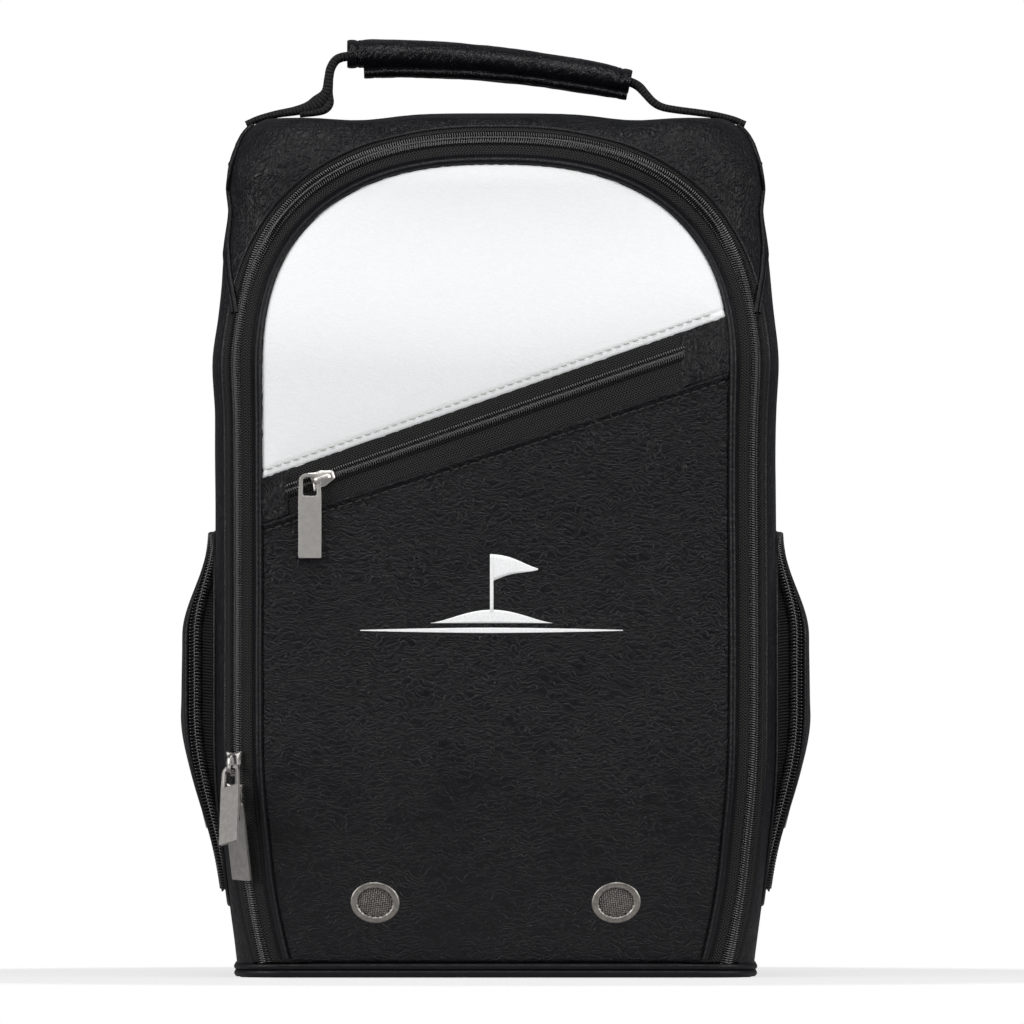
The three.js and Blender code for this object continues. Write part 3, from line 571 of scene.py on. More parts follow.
@dataclass(frozen=True)
class Leather:
    """Soft grained synthetic leather, crinkled as it is stretched over the case; its crease valleys are
    painted darker, as painted shade.
    """

    name: str
    colour: Colour
    # The darker colour painted into the crease valleys, as painted shade.
    deep: Colour
    crease: Crease = Crease.ACROSS
    crease_length: float = 8.0
    crease_width: float = 1.8
    crease_depth: float = 0.85
    grain: float = 0.55
    grain_depth: float = 0.07
    roughness: tuple[float, float] = (0.28, 0.46)
    sheen: float = 0.0
    gloss: float = 0.5

    def material(self) -> Finish:
        """Builds the material."""
        n = Nodes(self.name)
        flat = n.object_mm()
        drift = n.add("TexNoise", Vector=flat, Scale=0.055, Detail=3.0, Roughness=0.6).outputs["Color"]
        warp = n.add("VectorMath", {"operation": "SCALE"}, i0=drift, Scale=16.0)
        moved = n.add("VectorMath", {"operation": "ADD"}, i0=flat, i1=warp.outputs[0]).outputs[0]
        turned = n.add("Mapping", Vector=moved, Rotation=(0, math.radians(self.crease.value), 0))
        scale = (1 / self.crease_length, 1 / self.crease_width, 1 / self.crease_width)
        drawn = n.add("Mapping", Vector=turned.outputs["Vector"], Scale=scale).outputs["Vector"]
        net = n.add("TexVoronoi", {"feature": "DISTANCE_TO_EDGE"}, Vector=drawn, Scale=1.0)
        folds = n.add("TexNoise", Vector=drawn, Scale=0.9, Detail=4.0, Roughness=0.62, Distortion=0.9)
        where = n.add("TexNoise", Vector=flat, Scale=0.028, Detail=2.0)
        amount = n.ramp(where.outputs["Fac"], 0.32, 0.66, 0.5, 1.0)
        valley = n.ramp(net.outputs["Distance"], 0.0, 0.2, 0.0, 1.0)
        height = n.maths("MULTIPLY_ADD", valley, 0.4, folds.outputs["Fac"])
        creased = n.maths("MULTIPLY", height, amount)
        pores = n.add("TexVoronoi", {"feature": "F1"}, Vector=flat, Scale=1 / self.grain)
        pore_height = n.ramp(pores.outputs["Distance"], 0.1, 0.6, 1.0, 0.0)
        normal = n.bump(creased, self.crease_depth)
        normal = n.bump(pore_height, self.grain_depth, below=normal)
        rough = n.ramp(folds.outputs["Fac"], 0.35, 0.7, self.roughness[1], self.roughness[0])
        # Painted shade: the colour falls to the deep colour in the crease valleys, where the crease height is
        # low.
        colour = n.blend(n.ramp(height, 0.3, 0.9), self.deep, self.colour)
        n.surface(Sheen_Weight=self.sheen, Sheen_Roughness=0.4, Sheen_Tint=(0.75, 0.8, 1.0, 1))
        n.surface(Specular_IOR_Level=self.gloss)
        return n.surface(Base_Color=colour, Roughness=rough, Normal=normal)


@dataclass(frozen=True)
class Tape:
    """Herringbone zip tape; its pattern follows the piece's own UV map."""

    name: str
    colour: Colour = (0.003, 0.0031, 0.003)
    light: Colour = (0.044, 0.045, 0.044)
    column: float = 2.1
    pitch: float = 1.3

    def material(self) -> Finish:
        """Builds the material."""
        n = Nodes(self.name)
        uv = n.add("SeparateXYZ", Vector=n.uv_mm())
        along, across = uv.outputs[0], uv.outputs[1]
        zigzag = n.maths("PINGPONG", across, self.column)
        phase = n.maths("DIVIDE", n.maths("ADD", along, zigzag), self.pitch)
        rib = n.maths("SINE", n.maths("MULTIPLY", phase, 2 * math.pi))
        yarn = n.maths("SINE", n.maths("MULTIPLY", across, 2 * math.pi / (self.pitch * 0.8)))
        cord = n.maths("MULTIPLY_ADD", yarn, 0.35, rib)
        fuzz = n.add("TexNoise", Vector=n.object_mm(), Scale=2.2, Detail=2.0)
        height = n.maths("MULTIPLY_ADD", fuzz.outputs["Fac"], 0.8, cord)
        share = n.ramp(cord, -0.9, 1.3)
        colour = n.blend(share, self.colour, self.light)
        normal = n.bump(height, 0.16)
        n.surface(Specular_IOR_Level=0.12)
        return n.surface(Base_Color=colour, Roughness=0.75, Normal=normal, Sheen_Weight=0.01)


@dataclass(frozen=True)
class Webbing:
    """Ribbed woven strap; its ribs run across the piece's own UV map."""

    name: str
    colour: Colour = (0.004, 0.004, 0.0045)
    light: Colour = (0.024, 0.024, 0.025)
    rib: float = 1.5

    def material(self) -> Finish:
        """Builds the material."""
        n = Nodes(self.name)
        uv = n.add("SeparateXYZ", Vector=n.uv_mm())
        along, across = uv.outputs[0], uv.outputs[1]
        rib = n.maths("ABSOLUTE", n.maths("SINE", n.maths("MULTIPLY", along, math.pi / self.rib)))
        yarn = n.maths("SINE", n.maths("MULTIPLY", across, 2 * math.pi / 0.9))
        offset = n.maths("SINE", n.maths("MULTIPLY", along, math.pi / self.rib / 2))
        weave = n.maths("MULTIPLY", yarn, offset)
        height = n.maths("MULTIPLY_ADD", weave, 0.3, rib)
        colour = n.blend(n.ramp(height, 0.0, 1.2), self.colour, self.light)
        normal = n.bump(height, 0.28)
        n.surface(Specular_IOR_Level=0.15)
        return n.surface(Base_Color=colour, Roughness=0.75, Normal=normal, Sheen_Weight=0.01)


@dataclass(frozen=True)
class Cloth:
    """Plain woven cloth on the object's own coordinates."""

    name: str
    colour: Colour
    thread: float = 0.55

    def material(self) -> Finish:
        """Builds the material."""
        n = Nodes(self.name)
        at = n.add("SeparateXYZ", Vector=n.object_mm())
        waves = [
            n.maths("SINE", n.maths("MULTIPLY", at.outputs[k], math.pi / self.thread)) for k in range(3)
        ]
        weave = n.maths("MULTIPLY", n.maths("ADD", waves[0], waves[1]), waves[2])
        cloudy = n.add("TexNoise", Vector=n.object_mm(), Scale=0.05, Detail=3.0)
        light = tuple(c * 1.9 for c in self.colour)
        colour = n.blend(n.ramp(weave, -1.0, 1.4), self.colour, light)
        shade_of = n.ramp(cloudy.outputs["Fac"], 0.3, 0.7, 0.7, 0.88)
        normal = n.bump(weave, 0.06)
        return n.surface(Base_Color=colour, Roughness=shade_of, Normal=normal, Sheen_Weight=0.2)


@dataclass(frozen=True)
class Metal:
    """Plated die-cast metal, brushed and a little worn."""

    name: str
    colour: Colour
    dark: Colour
    roughness: tuple[float, float] = (0.26, 0.42)

    def material(self) -> Finish:
        """Builds the material."""
        n = Nodes(self.name)
        brushed = n.add("TexNoise", Vector=n.object_mm((0.6, 5.0, 9.0)), Scale=1.0, Detail=3.0)
        worn = n.add("TexNoise", Vector=n.object_mm(), Scale=0.5, Detail=4.0)
        colour = n.blend(n.ramp(worn.outputs["Fac"], 0.38, 0.62), self.dark, self.colour)
        rough = n.ramp(brushed.outputs["Fac"], 0.3, 0.7, *self.roughness)
        normal = n.bump(brushed.outputs["Fac"], 0.03)
        return n.surface(Base_Color=colour, Roughness=rough, Metallic=1.0, Normal=normal)


@dataclass(frozen=True)
class Moulded:
    """Nylon, thread, foam and other plain finishes, with a fine unevenness."""

    name: str
    colour: Colour
    roughness: float
    grain: float = 1.5
    depth: float = 0.03
    gloss: float = 0.5

    def material(self) -> Finish:
        """Builds the material."""
        n = Nodes(self.name)
        uneven = n.add("TexNoise", Vector=n.object_mm(), Scale=1 / self.grain, Detail=3.0)
        light = tuple(min(1.0, c * 1.25) for c in self.colour)
        colour = n.blend(n.ramp(uneven.outputs["Fac"], 0.3, 0.7), self.colour, light)
        smoothest, roughest = self.roughness * 0.9, min(1.0, self.roughness * 1.15)
        rough = n.ramp(uneven.outputs["Fac"], 0.3, 0.7, smoothest, roughest)
        normal = n.bump(uneven.outputs["Fac"], self.depth)
        n.surface(Specular_IOR_Level=self.gloss)
        return n.surface(Base_Color=colour, Roughness=rough, Normal=normal)


BLACK = (0.0046, 0.0047, 0.0066)
# The black leather's darker colour for its crease valleys: painted shade.
BLACK_CREASE_SHADE = (0.0022, 0.0022, 0.0028)


@dataclass(frozen=True)
class Finishes:
    """Every material of the bag, each made once."""

    panel: Finish
    corner: Finish
    side: Finish
    plain: Finish
    grip: Finish
    white: Finish
    tape: Finish
    webbing: Finish
    lining: Finish
    coil: Finish
    thread: Finish
    pale_thread: Finish
    foam: Finish
    nickel: Finish
    # A darker copy of the nickel: painted shade for the main zip's sliders and pulls.
    dark_nickel: Finish
    vent: Finish
    print: Finish

    @classmethod
    def made(cls) -> "Finishes":
        """Builds them all."""
        black = dict(colour=BLACK, deep=BLACK_CREASE_SHADE, sheen=0.012, gloss=0.25)
        return cls(
            panel=Leather("leather_front", **black).material(),
            corner=Leather(
                "leather_corner", crease=Crease.SLANTED, crease_length=6.5, crease_width=1.9,
                crease_depth=0.9, **black
            ).material(),
            side=Leather("leather_side", crease=Crease.UPRIGHT, crease_depth=0.6, **black).material(),
            plain=Leather(
                "leather_piping", crease_length=3, crease_width=2, crease_depth=0.08,
                roughness=(0.32, 0.45), **black
            ).material(),
            grip=Leather(
                "leather_grip", crease=Crease.SLANTED, crease_length=13, crease_width=3.0,
                crease_depth=0.7, roughness=(0.17, 0.3), **black
            ).material(),
            white=Leather(
                # The second colour is the painted shade in the white leather's crease valleys.
                "leather_white", (0.86, 0.875, 0.885), (0.83, 0.845, 0.86), crease_depth=0.05,
                grain_depth=0.045, roughness=(0.42, 0.55)
            ).material(),
            tape=Tape("zip_tape").material(),
            webbing=Webbing("strap_webbing").material(),
            lining=Cloth("lining_cloth", (0.022, 0.022, 0.024)).material(),
            coil=Moulded("nylon_coil", (0.007, 0.007, 0.007), 0.16, depth=0.01, gloss=0.8).material(),
            thread=Moulded("black_thread", (0.01, 0.01, 0.011), 0.5).material(),
            pale_thread=Moulded("pale_thread", (0.42, 0.42, 0.4), 0.6).material(),
            foam=Moulded("foam_board", (0.05, 0.05, 0.052), 0.85, grain=0.8, depth=0.1).material(),
            nickel=Metal("brushed_nickel", (0.78, 0.755, 0.72), (0.72, 0.695, 0.66), (0.38, 0.48)).material(),
            # A darker copy of the brushed nickel for the main zip's sliders and pulls: painted shade, the
            # same metal drawn as if less lit.
            dark_nickel=Metal(
                "nickel_in_painted_shade", (0.4, 0.385, 0.37), (0.34, 0.327, 0.315), (0.34, 0.44)
            ).material(),
            vent=Metal("antique_nickel", (0.33, 0.312, 0.29), (0.24, 0.226, 0.21), (0.34, 0.46)).material(),
            print=Moulded("white_print", (0.82, 0.84, 0.86), 0.5, grain=0.9, depth=0.02).material(),
        )


# ---------------------------------------------------------------- the case's outer surface


@dataclass(frozen=True)
class Shell:
    """The outer surface of the bag, by its plan at each height."""

    height: float = 370.0
    half: float = 119.5
    front: float = 75.0
    back: float = 72.0
    side_taper: float = 9.5
    front_taper: float = 21.0
    back_taper: float = 8.0
    side_lean: float = 5.0
    front_lean: float = 11.0
    back_lean: float = 5.0
    front_corner: float = 22.0
    back_corner: float = 16.0
    knee: float = 85.0
    knee_round: float = 0.22
    spring: float = 260.0
    shoulder: float = 338.0
    top_rise: float = 29.5
    corner_drop: float = 19.6
    edge_drop: float = 12.0

    def plan(self, z: Array) -> tuple[Array, Array, Array]:
        """Works out the plan at heights up to the top edge.

        Args:
            z: The heights.

        Returns:
            Half the width, and how far the front and the back lie from the middle.
        """
        t = np.maximum(np.asarray(z, float) / self.knee, 0)
        h = np.clip(0.5 + 0.5 * (1 - t) / self.knee_round, 0, 1)
        foot = mix(1.0, t, h) - self.knee_round * h * (1 - h)
        lean = smooth((z - self.spring) / (self.shoulder - self.spring))
        over = np.clip((z - self.shoulder) / self.top_rise, 0, 0.9995)
        take = 1 - np.sqrt(1 - over**2)
        half = self.half - self.side_taper * (1 - foot) - self.side_lean * lean - self.corner_drop * take
        front = self.front - self.front_taper * (1 - foot) - self.front_lean * lean - self.edge_drop * take
        back = self.back - self.back_taper * (1 - foot) - self.back_lean * lean - self.edge_drop * take
        return half, front, back

    def front_y(self, x: Array, z: Array) -> Array:
        """Finds the front, round the upright corners too.

        Args:
            x: Places across.
            z: Heights.

        Returns:
            y at each place.
        """
        half, front, _ = self.plan(z)
        r = self.front_corner
        across = np.clip(np.abs(x) - (half - r), 0, r * 0.9995)
        return r - front - np.sqrt(r * r - across * across)

    def on_front(self, x: Numbers, z: Numbers, raised: Numbers = 0.0) -> Array:
        """Finds points on the front.

        Args:
            x: Places across.
            z: Heights.
            raised: How far off the leather.

        Returns:
            The points.
        """
        x, z = np.broadcast_arrays(np.asarray(x, float), np.asarray(z, float))
        e = 0.4
        slope_x = (self.front_y(x + e, z) - self.front_y(x - e, z)) / (2 * e)
        slope_z = (self.front_y(x, z + e) - self.front_y(x, z - e)) / (2 * e)
        out = unit(np.stack([slope_x, -np.ones_like(x), slope_z], axis=-1))
        at = np.stack([x, self.front_y(x, z), z], axis=-1)
        return at + out * np.asarray(raised, float)[..., None]

    def ring(self, z: float, depth: float, tilt: float = 0.0) -> Array:
        """Returns points round the plan at one height, a depth below the surface.

        Args:
            z: The height.
            depth: How far inside the surface.
            tilt: How far the surface leans back there, in radians.

        Returns:
            The points, anticlockwise from above, starting at the right of the front.
        """
        half, front, back = (float(v) - depth * math.cos(tilt) for v in self.plan(np.array(z)))
        fr = max(self.front_corner - depth, 1.0)
        br = max(self.back_corner - depth, 1.0)
        corners = [
            (half - fr, fr - front, fr, -90),
            (half - br, back - br, br, 0),
            (br - half, back - br, br, 90),
            (fr - half, fr - front, fr, 180),
        ]
        arcs = []
        for x, y, r, start in corners:
            a = np.radians(start + np.linspace(0, 90, 13))
            arcs.append(np.stack([x + r * np.cos(a), y + r * np.sin(a)], axis=1))
        counts = (34, 56, 34, 56)
        line = []
        for k, arc in enumerate(arcs):
            straight = np.linspace(arc[-1], arcs[(k + 1) % 4][0], counts[k] + 1)[1:-1]
            line.extend([arc, straight])
        flat = np.vstack(line)
        return rows_of(flat, np.full(len(flat), z - depth * math.sin(tilt)))

    def solid(self, name: str, depth: float, foot: float) -> Piece:
        """Makes the closed solid a depth inside the surface.

        Args:
            name: The solid's name.
            depth: How far inside the surface.
            foot: The height of its flat underside.

        Returns:
            The solid.
        """
        rings = [self.ring(z, depth) for z in np.linspace(foot, self.shoulder, 84)]
        for tilt in np.radians(np.linspace(6, 86, 14)):
            rings.append(self.ring(self.shoulder + self.top_rise * math.sin(tilt), depth, tilt))
        rim = rings[-1]
        top = self.height - depth
        for share in np.linspace(0.06, 0.97, 14):
            flat = rim * np.array([1 - share, 1 - share, 0])
            rise = mix(rim[0, 2], top, math.sin(share * math.pi / 2) ** 0.9)
            rings.append(flat + np.array([0, 0, rise]))
        return sweep(name, np.stack(rings))

    def layer(self, name: str, outer: float, inner: float, foot: float) -> Piece:
        """Makes the wall between two depths, open at its foot.

        Args:
            name: The wall's name.
            outer: Its outer depth.
            inner: Its inner depth.
            foot: The height of its foot.

        Returns:
            The wall.
        """
        wall = self.solid(name, outer, foot)
        cut(wall, self.solid("hollow", inner, foot - 4), "DIFFERENCE")
        return wall


def slump(points: Array) -> Array:
    """Moves points of the soft case in and out a little, as filled leather lies.

    The sides belly out above the pockets and pinch in at the top corners; the rest waves gently.

    Args:
        points: The points, one a row.

    Returns:
        The moved points.
    """
    x, y, z = points.T
    side = smooth((np.abs(x) - 96) / 18)
    belly = 1.7 * np.exp(-(((z - 262) / 17) ** 2)) - 1.1 * np.exp(-(((z - 327) / 9) ** 2))
    wave = bumps(points, 62.0, 3.7) * 1.1 + bumps(points, 27.0, 9.1) * 0.35
    away = smooth((z - 12) / 40)
    quiet = 1 - smooth((60 - np.abs(z - 80)) / 30) * (x < -85)
    flat = unit(rows_of(x / 119.5, y / 75, np.zeros_like(z)))
    move = side * belly + wave * away * quiet * (0.35 + 0.65 * smooth((y + 60) / 30))
    moved = points + flat * move[:, None]
    moved[:, 2] -= 2.2 * smooth((z - 356) / 10) * np.exp(-(((np.abs(x) - 58) / 17) ** 2))
    return moved


def settle(obj: Piece) -> None:
    """Moves an object's vertices as the soft case slumps."""
    set_points(obj, slump(points_of(obj)))


def leather_sheet(obj: Piece, thickness: float) -> None:
    """Slumps a sheet of leather and gives it its thickness."""
    settle(obj)
    thicken(obj, thickness)
    face_out(obj, 0.001)
    shade(obj, 60)


@dataclass
class ZipLine:
    """The line that a zip's chain follows across the front, with distances to either side."""

    shell: Shell
    at: Array
    out: Array

    @classmethod
    def along(cls, shell: Shell, line: Array, pitch: float) -> "ZipLine":
        """Walks a line of [x, z] points in even steps measured on the surface.

        Args:
            shell: The surface.
            line: The [x, z] points.
            pitch: The step.

        Returns:
            The stepped line.
        """
        points = shell.on_front(*line.T)
        both = resample(rows_of(points, line), pitch)
        at = both[:, 3:]
        way = unit(np.gradient(at, axis=0))
        out = left_of(way)
        level = rows_of(np.sign(out[:, 0]), np.zeros(len(out)))
        near_foot = (at[:, 1] < 37.0)[:, None]
        levelled = unit(mix(level, out, smooth((at[:, 1:] - 7.0) / 30.0)))
        return cls(shell, at, np.where(near_foot, levelled, out))

    def section(self, across: Sequence[float], raised: Sequence[float]) -> Array:
        """Returns a section repeated along the line.

        Args:
            across: Distances to the outer side of the line.
            raised: Heights above the leather's surface, one for each distance.

        Returns:
            Points, line step by line step.
        """
        a = np.asarray(across, float)[None, :]
        x = self.at[:, :1] + self.out[:, :1] * a
        z = self.at[:, 1:] + self.out[:, 1:] * a
        return self.shell.on_front(x, z, np.asarray(raised, float)[None, :])

    def frames(self, raised: float) -> Array:
        """Finds how a small shape is placed at each step.

        Args:
            raised: The height above the surface.

        Returns:
            A 3 x 4 matrix for each step: along, outwards across, up off the surface, and the place.
        """
        low = self.section([0.0, 0.5], [raised, raised])
        high = self.section([0.0], [raised + 1.0])[:, 0]
        up = unit(high - low[:, 0])
        side = unit(low[:, 1] - low[:, 0])
        along = np.cross(side, up)
        side = np.cross(up, along)
        return np.stack([along, side, up, slump(low[:, 0])], axis=2)

    def run(self) -> Array:
        """Returns the distance along the surface to each step."""
        points = self.shell.on_front(self.at[:, 0], self.at[:, 1])
        return np.concatenate([[0], np.cumsum(np.linalg.norm(np.diff(points, axis=0), axis=1))])


# ---------------------------------------------------------------- zips


@dataclass(frozen=True)
class CoilZip:
    """One coil zip of the size all the bag's zips have."""

    pitch: float = 1.44
    edge: float = 2.9
    wire: float = 0.36
    rise: float = 1.15
    head: float = 0.42
    tape_raised: float = -1.15
    tape_thick: float = 0.7

    def tooth(self, hand: int) -> tuple[Array, Faces]:
        """Shapes one turn of the coil.

        Args:
            hand: 1 for the outer row and -1 for the inner.

        Returns:
            Its points and its faces.
        """
        line = np.array(
            [
                [-0.18, self.edge, -1.0],
                [-0.2, self.edge - 0.1, -0.1],
                [-0.08, self.edge - 0.75, 0.22],
                [0.16, 0.55, 0.3],
                [0.22, -self.head, 0.16],
                [0.2, -self.head - 0.1, -0.7],
            ]
        )
        way = unit(np.gradient(line, axis=0))
        flat = unit(np.cross(way, [1.0, 0, 0]))
        wide = np.cross(flat, way)
        turn = turns(6)
        thick = self.wire * np.array([0.9, 1.0, 1.0, 1.0, 1.45, 1.3])[:, None, None]
        cos, sin = np.cos(turn)[None, :, None], np.sin(turn)[None, :, None]
        ring = cos * wide[:, None] + sin * flat[:, None] * 0.9
        points = line[:, None] + ring * thick
        points[..., 1] *= hand
        faces = grid_faces(len(line), len(turn), wrap_cols=True)
        if hand > 0:
            faces = [f[::-1] for f in faces]
        return points.reshape(-1, 3), faces

    def row(self, name: str, frames: Array, hand: int) -> Piece:
        """Makes one row of the chain.

        Args:
            name: The row's name.
            frames: The placing matrices of the whole line.
            hand: 1 for the outer row and -1 for the inner.

        Returns:
            The row.
        """
        base, faces = self.tooth(hand)
        places = frames.copy()
        if hand < 0:
            places[:, :, 3] += places[:, :, 0] * self.pitch / 2
        return copies(name, base, faces, places)

    def tape(self, name: str, zip_line: ZipLine, inner: float, outer: float) -> Piece:
        """Makes a strip of tape beside the chain.

        Args:
            name: The strip's name.
            zip_line: The chain's line.
            inner: The distance of its inner edge.
            outer: The distance of its outer edge.

        Returns:
            The strip.
        """
        across = np.linspace(inner, outer, 9)
        points = zip_line.section(across, np.full(9, self.tape_raised))
        run = zip_line.run()
        uv = np.stack(np.broadcast_arrays(run[:, None], across[None, :]), axis=-1)
        made = sheet(name, points, uv)
        thicken(made, self.tape_thick)
        return made


@dataclass
class MainZip:
    """The long zip round the front: two tapes, two rows of coil, and the leather edges beside them."""

    shell: Shell
    finishes: Finishes
    chain_half: float = 111.0
    chain_foot: float = 102.0
    toe_in: float = 5.0
    toe_height: float = 46.0
    arch_rise: float = 99.0
    arch_power: float = 2.4
    foot: float = 6.4
    tape_shown: float = 7.0
    outer_shown: float = 4.5
    under: float = 4.0
    piping: float = 4.4
    welt_foot: float = 7.4
    coil: CoilZip = CoilZip()

    def line(self) -> Array:
        """Returns the chain's [x, z] line from the left foot over the arch to the right foot."""
        t = np.linspace(0, math.pi / 2, 160)
        power = 2 / self.arch_power
        x = self.chain_half * np.cos(t) ** power
        z = self.shell.spring + self.arch_rise * np.sin(t) ** power
        legs = np.linspace(0, 1, 60)
        at = mix(self.foot, self.shell.spring, legs)[:-1]
        foot = smooth_floor(at / self.shell.knee, self.shell.knee_round)
        leg = mix(self.chain_foot, self.chain_half, foot)
        leg -= self.toe_in * np.clip(1 - at / self.toe_height, 0, 1) ** 2
        right = np.vstack([rows_of(leg, at), rows_of(x, z)])
        right[-1, 0] = 0
        left = right[:-1] * [-1, 1]
        return np.vstack([left, right[::-1]])

    def chain(self) -> ZipLine:
        """Returns the chain's line, stepped by the coil's pitch."""
        return ZipLine.along(self.shell, self.line(), self.coil.pitch)

    def outline(self, distance: float) -> Array:
        """Returns the chain's outline moved outwards by a distance, as [x, z] points."""
        chain = self.chain()
        return chain.at + chain.out * distance

    def build(self) -> None:
        """Builds the zip's pieces."""
        f, chain = self.finishes, self.chain()
        outer = self.coil.tape("zip_tape_case", chain, 0.3, self.outer_shown + self.under)
        settle(outer)
        place(outer, "case", f.tape, ["main_zip_tape_outer"])
        inner = self.coil.tape(
            "zip_tape_flap", chain, -self.tape_shown - self.piping - self.under, -0.3
        )
        settle(inner)
        place(inner, "flap", f.tape, ["main_zip_tape_flap"])
        frames = chain.frames(0.0)
        case_row = self.coil.row("zip_coil_case", frames, 1)
        place(case_row, "case", f.coil, ["main_zip_coil_outer"])
        flap_row = self.coil.row("zip_coil_flap", frames, -1)
        place(flap_row, "flap", f.coil, ["main_zip_coil_flap"])
        self.build_piping(chain)
        self.build_edge(chain)

    def build_piping(self, chain: ZipLine) -> None:
        """Builds the welt between the flap's tape and its panels: a flat lip, a groove and a round bead.

        Args:
            chain: The chain's line.
        """
        t = np.linspace(math.pi * 0.98, 0.02 * math.pi, 13)
        bead = 1.62
        middle = -self.tape_shown - self.piping + bead
        across = [-self.tape_shown - 0.1, -self.tape_shown, -self.tape_shown - 0.45, -self.tape_shown - 1.0]
        raised = [-1.1, -0.1, 0.42, 0.2]
        across += list(middle - bead * np.cos(math.pi - t))
        raised += list(-0.45 + (bead + 0.35) * np.sin(t))
        across += [-self.tape_shown - self.piping - 0.2, -self.tape_shown - 1.5]
        raised += [-1.5, -1.5]
        rings = chain.section(across, raised)
        rings = rings[chain.at[:, 1] > self.welt_foot]
        gather = np.sin(np.arange(len(rings)) * 2 * math.pi / 3.0) * 0.05
        rings[:, 4:17] += (rings[:, 4:17] - rings[:, -1:]) * gather[:, None, None] * 0.5
        made = sweep("flap_welt", rings)
        settle(made)
        place(made, "flap", self.finishes.plain, ["flap_piping"])

    def build_edge(self, chain: ZipLine) -> None:
        """Builds the turned edge of the case's leather beside the outer tape.

        Args:
            chain: The chain's line.
        """
        t = turns(10)
        made = sweep(
            "case_leather_edge",
            chain.section(self.outer_shown + 0.75 + 0.95 * np.cos(t), -0.62 + 0.8 * np.sin(t))[::2],
        )
        settle(made)
        place(made, "case", self.finishes.plain)


def smooth_floor(t: Array, soft: float) -> Array:
    """Returns t up to 1 and 1 beyond, with the corner between them rounded."""
    h = np.clip(0.5 + 0.5 * (1 - t) / soft, 0, 1)
    return mix(1.0, t, h) - soft * h * (1 - h)


# ---------------------------------------------------------------- the fixed case


